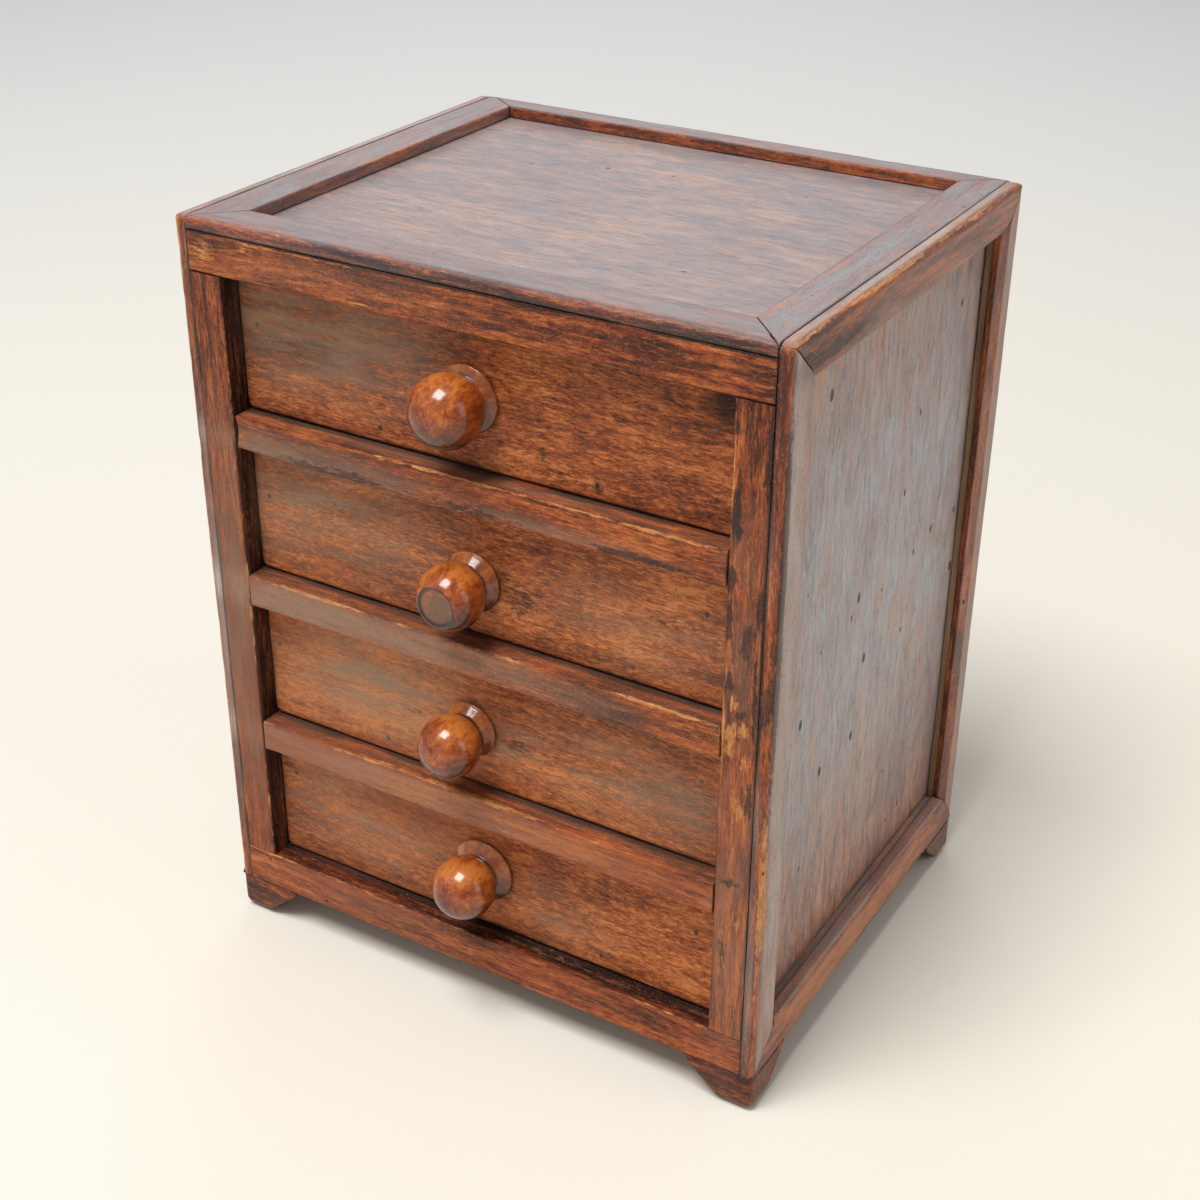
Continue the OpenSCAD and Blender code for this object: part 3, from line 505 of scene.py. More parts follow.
def softened(points):
    # Draws the upper corners of the case in onto their arcs, seen from the side
    moved = points.copy()
    onSide = np.abs(points[:, 0]) > frameX - 0.01
    for plane, inward, radius in ((frontY, 1, softCorners["nose"]), (backY, -1, softCorners["back"])):
        r = np.where(onSide, softCorners["side"], radius)
        away = np.stack([(points[:, 1] - plane) * inward - r, points[:, 2] - (topZ - r)], axis=1)
        far = np.linalg.norm(away, axis=1)
        outside = (away[:, 0] < 0) & (away[:, 1] > 0) & (far > r)
        pull = away * ((r / np.maximum(far, 1e-9)) - 1)[:, None]
        moved[outside, 1] += pull[outside, 0] * inward
        moved[outside, 2] += pull[outside, 1]
    return moved


def weathered(points, normals, marks):
    # Sinks the surface: a slow roll, a fine ripple and chips on worn edges
    sink = weather["roll"] * (0.5 + 0.5 * noiseAt(points, weather["rollSize"]))
    sink += weather["ripple"] * (0.5 + 0.5 * noiseAt(points, weather["rippleSize"], 9.3))
    chips = noiseAt(points, weather["chipSize"], 4.1) - weather["chipFrom"]
    chips = np.clip(chips / (weather["chipFull"] - weather["chipFrom"]), 0, 1)
    sink += weather["chip"] * chips * np.clip(marks[:, 0], 0, 1)
    return points - normals * sink[:, None]


def addFilmAndSheen(marks, normals, filmAndSheen):
    # The film layer: how much dull film and painted sheen the faces that look sideways, the bevels and the
    # faces that look up get; on the bevels it is a painted highlight
    sideways, bevels, upward = filmAndSheen
    across = np.abs(normals[:, 0])
    slant = np.clip(1 - np.abs(across - 0.7) / 0.25, 0, 1)
    slant[normals[:, 1] < -0.2] *= 0.15
    onTop = upward * np.clip(normals[:, 2], 0, 1) ** 4
    onSides = sideways * np.clip(across, 0, 1) ** 2
    marks[:, 3] = np.maximum.reduce([marks[:, 3], onTop, onSides, bevels * slant])


def addPlacedMarks(marks, placed):
    # A negative mark takes away what is there
    for channel, middle, reach, strength in placedMarks:
        spot = strength * fade(reachOf(placed, middle, reach))
        layer = marks[:, channels[channel]]
        layer[:] = np.maximum(layer + spot, 0) if strength < 0 else np.maximum(layer, spot)
    marks[:, 3] *= 1 - 0.75 * np.clip(marks[:, 0], 0, 1)    # no film where the wood is bare


def storeLayer(mesh, name, kind, key, values):
    mesh.attributes.new(name, kind, "POINT").data.foreach_set(key, values.ravel())


def finishMesh(name, points, grain, marks, faces, filmAndSheen, side=1, fading=None, tint=(0, 0, 0), paintedLight=None):
    # Makes the mesh in metres with its grain and marks, weathered on the way.
    # tint: change of tone on faces that look sideways, forward and up. fading thins the film and its
    # painted sheen, the last one changes the tone, both from where a point is; on the knobs that is
    # painted light above and painted shade below
    points = softened(points)
    marks[:, 1] *= np.clip(0.8 + 0.9 * noiseAt(points, weather["grimeSize"], 2.7), 0.35, 1)
    mesh = bpy.data.meshes.new(name)
    mesh.from_pydata(points.tolist(), [], faces)
    mesh.update()
    normals = np.empty(len(points) * 3)
    mesh.vertices.foreach_get("normal", normals)
    normals = normals.reshape(-1, 3)
    mirror = np.array([side, 1, 1])
    placed = points * mirror

    addFilmAndSheen(marks, normals, filmAndSheen)
    if fading:
        marks[:, 3] *= fading(placed)
    addPlacedMarks(marks, placed)
    shade = normals ** 2 @ np.array(tint)
    for middle, reach, change in placedShades:
        shade += change * fade(reachOf(placed, middle, reach))
    if paintedLight:
        shade += paintedLight(placed)
    calm = np.zeros(len(points))
    for middle, reach, amount in placedCalm:
        calm = np.maximum(calm, amount * fade(reachOf(placed, middle, reach)))

    placed = weathered(placed, normals * mirror, marks)
    for piece, middle, reach, push in knocks:
        if piece == name:
            placed += fade(reachOf(placed, middle, reach))[:, None] * np.array(push)
    mesh.vertices.foreach_set("co", (placed * mm).ravel())
    if side < 0:
        mesh.flip_normals()
    storeLayer(mesh, "grain", "FLOAT_VECTOR", "vector", grain)
    storeLayer(mesh, "marks", "FLOAT_COLOR", "color", marks)
    storeLayer(mesh, "shade", "FLOAT", "value", shade)
    storeLayer(mesh, "calm", "FLOAT", "value", calm)
    mesh.polygons.foreach_set("use_smooth", [True] * len(mesh.polygons))
    mesh.update()
    return mesh


def addPiece(name, mesh, body, nodes, material):
    piece = bpy.data.objects.new(name, mesh)
    bpy.context.scene.collection.objects.link(piece)
    mesh.materials.append(material)
    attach(piece, body)
    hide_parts(*nodes)


def grainOffset():
    # Every piece is cut from another place of the wood
    return np.array([dice.uniform(0, 900), dice.uniform(0, 900), dice.uniform(0, 900)])


def ringFaces(rings, size, flip):
    # Quads between rings of the same size, with a cap on each end
    faces = []
    for k in range(rings - 1):
        for j in range(size):
            low, high = k * size, (k + 1) * size
            following = (j + 1) % size
            faces.append([low + j, low + following, high + following, high + j])
    faces += [list(range(size))[::-1], [(rings - 1) * size + j for j in range(size)]]
    return [corners[::-1] for corners in faces] if flip else faces


def cutsAlong(length, step):
    # Distances along a straight run, close together near both ends
    near = [d for d in (0.4, 0.9, 1.7, 3.0, 5.0) if d < length / 2.2]
    inner = length - 2 * (near[-1] if near else 0)
    count = max(1, round(inner / step))
    start = near[-1] if near else 0
    middle = [start + inner * i / count for i in range(1, count)]
    return near + middle + [length - d for d in reversed(near)]


def roundSection(corners, step):
    # corners: (u, v, radius, wear, grime), anticlockwise. Returns points with wear and grime
    points = []
    count = len(corners)
    for i in range(count):
        here = np.array(corners[i][:2], float)
        back = np.array(corners[i - 1][:2], float) - here
        ahead = np.array(corners[(i + 1) % count][:2], float) - here
        a = back / np.linalg.norm(back)
        b = ahead / np.linalg.norm(ahead)
        radius = corners[i][2]
        half = math.acos(float(np.clip(a @ b, -1, 1))) / 2
        cut = radius / math.tan(half)
        middle = here + (a + b) / np.linalg.norm(a + b) * radius / math.sin(half)
        first = here + a * cut - middle
        last = here + b * cut - middle
        turn = math.atan2(first[0] * last[1] - first[1] * last[0], float(first @ last))
        steps = max(2, math.ceil(abs(turn) * (3 + radius) / 1.6))
        for k in range(steps + 1):
            angle = turn * k / steps
            c, s = math.cos(angle), math.sin(angle)
            points.append(middle + np.array([first[0] * c - first[1] * s, first[0] * s + first[1] * c]))
        nextRadius = corners[(i + 1) % count][2]
        nextAhead = np.array(corners[(i + 2) % count][:2], float) - (here + ahead)
        nextHalf = math.acos(float(np.clip(-b @ nextAhead / np.linalg.norm(nextAhead), -1, 1))) / 2
        run = np.linalg.norm(ahead) - cut - nextRadius / math.tan(nextHalf)
        for d in cutsAlong(run, step):
            points.append(here + b * (cut + d))
    points = np.array(points)
    wear = np.zeros(len(points))
    grimeAndShade = np.zeros(len(points))
    for u, v, radius, cornerWear, cornerGrime in corners:
        away = np.linalg.norm(points - np.array([u, v]), axis=1) - 0.4 * radius
        wear = np.maximum(wear, cornerWear * fade(np.clip(away, 0, 9) / (0.8 + 0.6 * radius)))
        grimeAndShade = np.maximum(grimeAndShade, cornerGrime * fade(np.clip(away, 0, 9) / 1.5))
    return points, wear, grimeAndShade


axisOrder = {"x": [2, 0, 1], "y": [0, 2, 1], "z": [0, 1, 2]}    # where u, v and the run go
endReach = {"wear": 3.0, "grimeAndShade": 0.9}                          # how far marks run in from an end


def sweptBar(corners, axis, startAt, endAt, ends=((0, 0.6), (0, 0.6)), gaps=(0.03, 0.03), ease=0.22,
             step=3.0, across=3.5):
    # Sweeps a section along an axis between two ends, which may slope. ends: (wear, grime) of each,
    # gaps: what is left free at each, ease: how far the last edge is rounded
    flat, sectionWear, sectionGrime = roundSection(corners, across)
    following = np.roll(flat, -1, axis=0) - np.roll(flat, 1, axis=0)
    outward = np.stack([following[:, 1], -following[:, 0]], axis=1)
    outward /= np.linalg.norm(outward, axis=1)[:, None]
    first = np.array([startAt(u, v) for u, v in flat]) + gaps[0]
    last = np.array([endAt(u, v) for u, v in flat]) - gaps[1]
    length = float((last - first).max())
    cuts = [0, ease * 0.35] + [ease + d for d in [0] + cutsAlong(length - 2 * ease, step)]
    cuts += [length - ease, length - ease * 0.35, length]
    rings = []
    for d in cuts:
        near = min(d, length - d)
        inset = ease - math.sqrt(max(ease ** 2 - (ease - near) ** 2, 0)) if near < ease else 0
        rings.append((first + (last - first) * d / length, flat - outward * inset, near, d))
    points, grain, marks = [], [], []
    offset = grainOffset()
    for along, ring, near, d in rings:
        stack = np.stack([ring[:, 0], ring[:, 1], along], axis=1)
        endWear, endGrime = ends[0] if d < length / 2 else ends[1]
        wear = np.maximum(sectionWear, endWear * float(fade(np.array(near / endReach["wear"]))))
        grimeAndShade = np.maximum(sectionGrime, endGrime * float(fade(np.array(near / endReach["grimeAndShade"]))))
        points.append(stack[:, axisOrder[axis]])
        grain.append(np.stack([along, ring[:, 0], ring[:, 1]], axis=1) + offset)
        marks.append(np.stack([wear, grimeAndShade, 0 * wear, 0 * wear], axis=1))
    faces = ringFaces(len(rings), len(flat), axis == "y")
    return np.concatenate(points), np.concatenate(grain), np.concatenate(marks), faces


def joined(*bars):
    # Several swept shapes as one
    points, grain, marks, faces = bars[0]
    for more in bars[1:]:
        start = len(points)
        points = np.concatenate([points, more[0]])
        grain = np.concatenate([grain, more[1]])
        marks = np.concatenate([marks, more[2]])
        faces = faces + [[start + i for i in corners] for corners in more[3]]
    return points, grain, marks, faces


def fixedAt(value):
    return lambda u, v: value


def rectangle(u0, v0, u1, v1, marks):
    # Corners in the order low left, low right, high right, high left: (radius, wear, grime) each
    places = [(u0, v0), (u1, v0), (u1, v1), (u0, v1)]
    return [(*place, *mark) for place, mark in zip(places, marks)]


noFilm = (0, 0, 0)
plain = (0.4, 0, 0.3)                               # a corner out of sight

# Rounding of the edges, and tint and film as finishMesh and its film function take them; the tint of the
# stiles darkens their faces that look sideways into the openings, a painted shade
frontFrame = {"stileEdge": 0.8, "railEdge": 0.9, "seam": 0.2, "dividerTop": 1.2, "dividerLow": 0.6,
              "sillTop": 0.6, "stileRevealShade": (-0.55, 0, 0), "railTint": (0, 0, -0.24),
              "dividerTint": (0, 0, -0.08), "dividerFilm": (0, 0, 0.2), "dividerGap": 0.15}


def ledgeShadeAndGrime(bar, top):
    # Dirt on the ledge in front of a drawer, and a painted shadow blackest in the gap under the drawer
    points, marks = bar[0], bar[2]
    away = np.abs(points[:, 1] - drawerY)
    seam = 1.2 * fade(away / 2.4) + 0.25 * fade(away / 6.5)
    marks[:, 1] = np.maximum(marks[:, 1], np.where(points[:, 2] > top - 0.5, seam, 0))


def dressFrontFrame():
    f = frontFrame
    for side, word in bothSides:
        corners = rectangle(openX, frontY, frameX, frontInY, [
            (f["stileEdge"], 0.75, 0), (f["seam"], 0, 1), plain, (0.5, 0, 0.8)])
        bar = sweptBar(corners, "z", fixedAt(sillHigh[2]), fixedAt(headLow[2]), across=2.6)
        node = "front_stile_" + word
        # The sideways faces of the stiles are darkened: painted shade inside the openings
        mesh = finishMesh(node, *bar, noFilm, side, tint=f["stileRevealShade"])
        addPiece("dressed_" + node, mesh, "case", [node], frontWood)
    rails = {
        "front_head_rail": (headLow, headHigh, [(f["railEdge"], 0.8, 0), plain, plain, (0.4, 0, 1)]),
        "front_sill_rail": (sillLow, sillHigh, [(0.6, 0.3, 0), plain, plain, (f["sillTop"], 0.8, 0)]),
    }
    for node, (low, high, marks) in rails.items():
        corners = rectangle(low[1], low[2], high[1], high[2], marks)
        bar = sweptBar(corners, "x", fixedAt(-frameX), fixedAt(frameX), across=1.3)
        if node == "front_sill_rail":
            ledgeShadeAndGrime(bar, high[2])
        mesh = finishMesh(node, *bar, noFilm, tint=f["railTint"])
        addPiece("dressed_" + node, mesh, "case", [node], frontWood)
    for n in (1, 2, 3):
        node = f"divider_rail_{n}"
        low, high = boxOf(node)
        corners = rectangle(low[1], low[2], high[1], high[2], [
            (f["dividerLow"], 0.6, 0), plain, plain, (f["dividerTop"], 0.85, 0)])
        bar = sweptBar(corners, "x", fixedAt(-openX), fixedAt(openX), gaps=[f["dividerGap"]] * 2,
                       ease=0.4, across=1.1)
        ledgeShadeAndGrime(bar, high[2])
        mesh = finishMesh(node, *bar, f["dividerFilm"], tint=f["dividerTint"])
        addPiece("dressed_" + node, mesh, "case", [node], frontWood)


dressFrontFrame()
print("front frame dressed")

# slope: how deep and how high the top rail falls back to its panel. core: the part behind the
# mitred rails. filmBelow: share of the film and painted sheen at the floor, which grows upward
sideFrame = {
    "edge": 2.6, "bevel": 2.5, "seam": 0.2, "slope": (1.3, 3.8), "coreDepth": 10, "coreBack": 0.8,
    "filmBelow": 0.4, "filmFull": 90,
    "filmAndSheen": {"front_stile": (0.66, 0.9, 0.6), "back_stile": (0.45, 0.7, 0.5),
             "top_rail": (0.2, 0.25, 0.6), "bottom_rail": (0.16, 0.7, 0.5)},
}


def dressSideFrame(side, word):
    f = sideFrame
    frontW = sideFrontY - frontY
    backW = backY - sideBackY
    topW = topZ - sideTopZ
    lowW = sillHigh[2] - railZ
    bevelX = outerX - f["bevel"]
    coreX = frameX - f["coreDepth"]

    def filmAndSheenAt(points):
        return np.clip(f["filmBelow"] + points[:, 2] / f["filmFull"], f["filmBelow"], 1)

    def add(member, bar):
        node = f"{word}_frame_{member}"
        mesh = finishMesh(node, *bar, f["filmAndSheen"][member], side, filmAndSheenAt)
        addPiece("dressed_" + node, mesh, "case", [node], sideWood)

    stile = [(frameX, frontY, f["seam"], 0, 1), (outerX, frontY, f["edge"], 1, 0),
             (outerX, sideFrontY - f["bevel"], 0.8, 0.35, 0), (bevelX, sideFrontY, 0.5, 0, 0.5),
             (frameX, sideFrontY, 0.4, 0, 0.5)]
    add("front_stile", sweptBar(
        stile, "z", lambda x, y: railZ + (y - frontY) * lowW / frontW,
        lambda x, y: topZ - (y - frontY) * topW / frontW, across=2.4))
    stile = [(frameX, sideBackY, 0.4, 0, 0.5), (bevelX, sideBackY, 0.5, 0, 0.5),
             (outerX, sideBackY + f["bevel"], 0.8, 0.3, 0), (outerX, backY, f["edge"], 1, 0),
             (frameX, backY, f["seam"], 0, 0.6)]
    add("back_stile", sweptBar(
        stile, "z", lambda x, y: railZ + (backY - y) * lowW / backW,
        lambda x, y: topZ - (backY - y) * topW / backW, across=2.4))
    slopeIn, slopeHigh = f["slope"]
    rail = [(frameX, sideTopZ, 0.4, 0, 0.5), (outerX - slopeIn, sideTopZ, 0.5, 0, 0.5),
            (outerX, sideTopZ + slopeHigh, 0.8, 0, 0), (outerX, topZ, f["edge"], 0.4, 0),
            (frameX, topZ, f["seam"], 0, 1)]
    core = rectangle(coreX, sideTopZ + f["coreBack"], frameX, deckZ, [plain] * 4)
    add("top_rail", joined(
        sweptBar(rail, "y", lambda x, z: frontY + (topZ - z) * frontW / topW,
                 lambda x, z: backY - (topZ - z) * backW / topW, across=2.4),
        sweptBar(core, "y", fixedAt(frontInY), fixedAt(sideBackY))))
    rail = [(frameX, railZ, 0.4, 0, 0.3), (outerX, railZ, 0.6, 0.3, 0),
            (outerX, sillHigh[2] - f["bevel"] / 2, 0.7, 0.5, 0),
            (outerX - f["bevel"] / 2, sillHigh[2], 0.5, 0, 0.3), (frameX, sillHigh[2], 0.4, 0, 0.8)]
    core = rectangle(coreX, railZ, frameX, sillHigh[2] - f["coreBack"], [plain] * 4)
    add("bottom_rail", joined(
        sweptBar(rail, "y", lambda x, z: frontY + (z - railZ) * frontW / lowW,
                 lambda x, z: backY - (z - railZ) * backW / lowW, across=2.4),
        sweptBar(core, "y", fixedAt(frontInY), fixedAt(sideBackY))))


for side, word in bothSides:
    dressSideFrame(side, word)
print("side frames dressed")

# The film of the top frame, most on faces that look up, is dull film and a painted sheen
topFrame = {"nose": 2.8, "noseWear": 0.4, "backEdge": 2.6, "innerEdge": 1.0, "filmAndSheen": (0.3, 0, 0.74)}


def dressTop():
    f = topFrame
    sideW = frameX - topInX
    frontW = topFrontY - frontY
    backW = backY - topBackY

    def add(node, bar, side=1):
        mesh = finishMesh(node, *bar, f["filmAndSheen"], side)
        addPiece("dressed_" + node, mesh, "case", [node], outerWood)

    inner = (f["innerEdge"], 0.3, 0)
    nose = (f["nose"], f["noseWear"], 0)
    corners = rectangle(frontY, deckZ, topFrontY, topZ, [(0.5, 0, 1), plain, inner, nose])
    slope = sideW / frontW
    add("top_frame_front", sweptBar(
        corners, "x", lambda y, z: -frameX + (y - frontY) * slope,
        lambda y, z: frameX - (y - frontY) * slope, across=2.4, gaps=(0.03, 0.2)))
    corners = rectangle(topBackY, deckZ, backY, topZ, [plain, plain, (f["backEdge"], 0.7, 0), inner])
    slopeBack = sideW / backW
    add("top_frame_back", sweptBar(
        corners, "x", lambda y, z: -frameX + (backY - y) * slopeBack,
        lambda y, z: frameX - (backY - y) * slopeBack, across=2.4))
    for side, word in bothSides:
        corners = rectangle(topInX, deckZ, frameX, topZ, [plain, plain, (0.5, 0, 1), inner])
        add("top_frame_" + word, sweptBar(
            corners, "y", lambda x, z: frontY + (frameX - x) / slope,
            lambda x, z: backY - (frameX - x) / slopeBack, across=2.4), side)


dressTop()


def rimShadeAndGrime(marks, points, axes, low, high, reach, strength):
    # Dirt and painted shade along the border of a sunk panel
    a, b = axes
    gap = np.minimum.reduce([points[:, a] - low[0], high[0] - points[:, a],
                             points[:, b] - low[1], high[1] - points[:, b]])
    marks[:, 1] = np.maximum(marks[:, 1], strength * fade(np.clip(gap, 0, 99) / reach))


# The film of the top panel and of the side panels is dull film and a painted sheen of reflected light
panels = {"edge": 0.5, "rim": 3.0, "topRim": 0.75, "sideRim": 0.8, "topFilmAndSheen": (0, 0, 0.56),
          "sideFilmAndSheen": (0.8, 0, 0), "filmBelow": 0.22, "filmFrom": 30, "filmRise": 115,
          "thinFrom": 205, "thinRise": 50, "thinned": 0.45}


def sidePanelFilmAndSheen(points):
    # Little film and painted sheen near the foot, most in the middle and less again near the top
    f = panels
    rising = np.clip(f["filmBelow"] + (points[:, 2] - f["filmFrom"]) / f["filmRise"], f["filmBelow"], 1)
    return rising * (1 - f["thinned"] * np.clip((points[:, 2] - f["thinFrom"]) / f["thinRise"], 0, 1))


def dressPanels():
    f = panels
    corners = rectangle(boardLow[1], boardLow[2], boardHigh[1], boardHigh[2], [(f["edge"], 0, 0)] * 4)
    bar = sweptBar(corners, "x", fixedAt(boardLow[0]), fixedAt(boardHigh[0]), across=2.5, step=2.5)
    # The sunk top panel and side panels get dirt and painted shade along their borders
    rimShadeAndGrime(bar[2], bar[0], (0, 1), (-topInX, topFrontY), (topInX, topBackY), f["rim"], f["topRim"])
    mesh = finishMesh("top_panel", *bar, f["topFilmAndSheen"])
    addPiece("dressed_top_panel", mesh, "case", ["top_panel"], panelWood)
    for side, word in bothSides:
        corners = rectangle(panelLow[0], panelLow[1], panelHigh[0], panelHigh[1], [(f["edge"], 0, 0)] * 4)
        bar = sweptBar(corners, "z", fixedAt(panelLow[2]), fixedAt(panelHigh[2]), across=2.5, step=2.5)
        rimShadeAndGrime(bar[2], bar[0], (1, 2), (sideFrontY, sillHigh[2]), (sideBackY, sideTopZ), f["rim"],
                 f["sideRim"])
        node = word + "_side_panel"
        mesh = finishMesh(node, *bar, f["sideFilmAndSheen"], side, sidePanelFilmAndSheen)
        addPiece("dressed_" + node, mesh, "case", [node], sidePanelWood)


dressPanels()
print("top and panels dressed")

# toe: rounding of the outer toe, turn: rounding of the inner one, lip: height of the inner toe
foot = {"toe": 4.0, "turn": 5.0, "lip": 1.8, "toeWidth": 10.5, "edge": 2.6, "levels": 18,
        "filmAndSheen": (0.2, 0, 0), "tone": -0.2, "topGrime": 0.3, "floorGrime": 0.75}


def footReach(z, width, height):
    # Outer and inner ends of the foot at height z, measured in from the outer face
    f = foot
    outer = 0 if z >= f["toe"] else f["toe"] - math.sqrt(max(f["toe"] ** 2 - (f["toe"] - z) ** 2, 0))
    slope = math.atan2(height - f["lip"], width - f["toeWidth"])
    turnX = f["toeWidth"] - f["turn"] * math.tan(slope / 2)
    turnEnd = f["turn"] * (1 - math.cos(slope))
    if z <= turnEnd:
        inner = turnX + math.sqrt(max(f["turn"] ** 2 - (f["turn"] - z) ** 2, 0))
    else:
        inner = turnX + f["turn"] * math.sin(slope) + (z - turnEnd) / math.tan(slope)
    return outer, min(inner, width)


def dressFoot(node, side, back):
    f = foot
    low, high = boxOf(node)
    width, depth, height = high[0] - low[0], high[1] - low[1], high[2]
    cornerY = backY if back else frontY
    inward = -1 if back else 1
    points, grain, marks = [], [], []
    offset = grainOffset()
    size = 0
    levels = [height * (i / f["levels"]) ** 1.3 for i in range(f["levels"] + 1)]
    for z in levels:
        x0, x1 = footReach(z, width, height)
        y0, y1 = footReach(z, depth, height)
        x0, y0 = min(x0, x1 - 2), min(y0, y1 - 2)
        soft = min(f["edge"], (x1 - x0) / 3, (y1 - y0) / 3)
        corners = rectangle(x0, y0, x1, y1, [(soft, 0.25, 0), (0.8, 0.2, 0), (0.5, 0, 0), (0.8, 0.2, 0)])
        flat, wear, grimeAndShade = levelRing(corners)
        size = len(flat)
        level = np.full(size, z)
        x = side * (outerX - flat[:, 0])
        points.append(np.stack([x, cornerY + inward * flat[:, 1], level], axis=1))
        grain.append(np.stack([flat[:, 0], flat[:, 1], level], axis=1) + offset)
        nearTop = f["topGrime"] * float(fade(np.array((height - z) / 1.5)))
        nearFloor = f["floorGrime"] * float(fade(np.array(z / 4.0)))
        grimeAndShade = np.maximum(grimeAndShade, max(nearTop, nearFloor))
        marks.append(np.stack([wear, grimeAndShade, 0 * wear, 0 * wear], axis=1))
    faces = ringFaces(len(levels), size, (side < 0) == back)
    mesh = finishMesh(node, np.concatenate(points), np.concatenate(grain), np.concatenate(marks), faces,
                      f["filmAndSheen"], tint=(f["tone"],) * 3)
    addPiece("dressed_" + node, mesh, "case", [node], frontWood)


def levelRing(corners, arcSteps=7, flatSteps=9):
    # A rounded rectangle with the same number of points whatever its size
    points, wear, grimeAndShade = [], [], []
    count = len(corners)
    for i in range(count):
        u, v, r, cornerWear, cornerGrime = corners[i]
        back = np.array(corners[i - 1][:2]) - np.array([u, v])
        ahead = np.array(corners[(i + 1) % count][:2]) - np.array([u, v])
        a = back / np.linalg.norm(back)
        b = ahead / np.linalg.norm(ahead)
        middle = np.array([u, v]) + (a + b) * r
        for k in range(arcSteps + 1):
            angle = math.pi / 2 * k / arcSteps
            points.append(middle - b * r * math.cos(angle) - a * r * math.sin(angle))
            wear.append(cornerWear)
            grimeAndShade.append(cornerGrime)
        nextRadius = corners[(i + 1) % count][2]
        run = np.linalg.norm(ahead) - r - nextRadius
        for k in range(1, flatSteps):
            share = 0.5 - 0.5 * math.cos(math.pi * k / flatSteps)
            points.append(np.array([u, v]) + b * (r + run * share))
            wear.append(cornerWear * max(0, 1 - 5 * share))
            grimeAndShade.append(0)
    return np.array(points), np.array(wear), np.array(grimeAndShade)


for side, word in bothSides:
    dressFoot("foot_front_" + word, side, False)
    dressFoot("foot_back_" + word, side, True)
print("feet dressed")

# band: painted shade and dirt under the rail above a drawer, rim: painted shade and dirt round the sunk
# front, halo: dirt from hands round the knob
drawer = {"edge": 1.2, "corner": 3.4, "rim": 4.0, "rimShadeAndGrime": 0.62, "band": 11.0,
          "bandShadeAndGrime": {1: 0.55, 2: 0.35, 3: 0.35, 4: 0.35}, "grimeAndShade": {1: 0.34, 2: 0.2, 3: 0.12, 4: 0.16},
          "halo": 0.75, "haloShift": (5, 4), "haloReach": (23, 30, 17)}


def dressDrawerFront(n):
    f = drawer
    node = f"drawer_{n}_front"
    low, high = boxOf(node)

    def corner(z):
        d = z - low[2]
        r = f["corner"]
        return 0 if d >= r else r - math.sqrt(max(r * r - (r - d) ** 2, 0))

    edge = (f["edge"], 0.25, 0)
    corners = rectangle(low[1], low[2], high[1], high[2], [edge, plain, plain, edge])
    bar = sweptBar(corners, "x", lambda y, z: low[0] + corner(z), lambda y, z: high[0] - corner(z),
                   ends=((0.2, 0.5), (0.2, 0.5)), gaps=(0, 0), ease=0.7, across=1.8, step=2.2)
    points, marks = bar[0], bar[2]
    marks[:, 1] = np.maximum(marks[:, 1], f["grimeAndShade"][n])
    # Dirt and painted shade round the edges of the sunk front, and a band of painted shadow under the rail
    # above
    rimShadeAndGrime(marks, points, (0, 2), (low[0], low[2]), (high[0], high[2]), f["rim"], f["rimShadeAndGrime"])
    rimShadeAndGrime(marks, points, (0, 2), (-999, -999), (999, high[2]), f["band"], f["bandShadeAndGrime"][n])
    knobLow, knobHigh = boxOf(f"drawer_{n}_knob")
    aside, above = f["haloShift"]
    halo = [(knobLow[0] + knobHigh[0]) / 2 + aside, low[1], (knobLow[2] + knobHigh[2]) / 2 + above]
    marks[:, 1] = np.maximum(marks[:, 1], f["halo"] * fade(reachOf(points, halo, f["haloReach"])))
    mesh = finishMesh(node, *bar, noFilm)
    addPiece("dressed_" + node, mesh, f"drawer_{n}", [node], drawerWood)


for n in drawerNumbers:
    dressDrawerFront(n)
print("drawer fronts dressed")

# Radii, and how far the tip stands out; ballSize and flangeSize differ from knob to knob
knob = {
    "ball": 11.4, "ballSize": {1: 1.06, 2: 0.99, 3: 0.97, 4: 1.0}, "tip": 24.0, "waist": 8.0,
    "flange": 10.7, "flangeSize": {1: 1.085, 2: 1.02, 3: 0.975, 4: 1.15}, "rim": 0.9,
    "spigot": 3.5, "around": 96,
    # The knob with the worn end: how much is gone and how deep the end is dished
    "wornKnob": 2, "wornOff": 2.4, "dish": 0.5, "endFrom": 20.2, "endReach": 7.6, "endFilm": 0.55,
    "ringAt": 6.5, "ringReach": 1.9,
    # Painted light above and painted shade below, dirt in the waist and on the foot, rubbed rim
    "paintedLightToShade": 0.4, "paintedLightShift": 1.6, "waistGrime": 0.95, "footGrime": 0.8, "flangeGrime": 0.38,
    "flangeFilm": 0.15, "rimWear": 0.5,
    "hand": {"at": (1, -21, -5), "reach": (9, 12, 12), "stain": 0.85},
}


def arcOf(middle, radius, start, end, steps):
    # Points (distance from the axis, height) on an arc, angles in degrees from the radial direction
    return [(middle[0] + radius * math.cos(math.radians(start + (end - start) * i / steps)),
             middle[1] + radius * math.sin(math.radians(start + (end - start) * i / steps)))
            for i in range(steps + 1)]


def knobSizes(n):
    # Radii of ball, flange and waist, then how far out the ball's middle and the waist stand
    k = knob
    ball, waist = k["ball"] * k["ballSize"][n], k["waist"] * k["ballSize"][n]
    out = k["tip"] - ball
    return ball, k["flange"] * k["flangeSize"][n], waist, out, out - math.sqrt(ball ** 2 - waist ** 2)


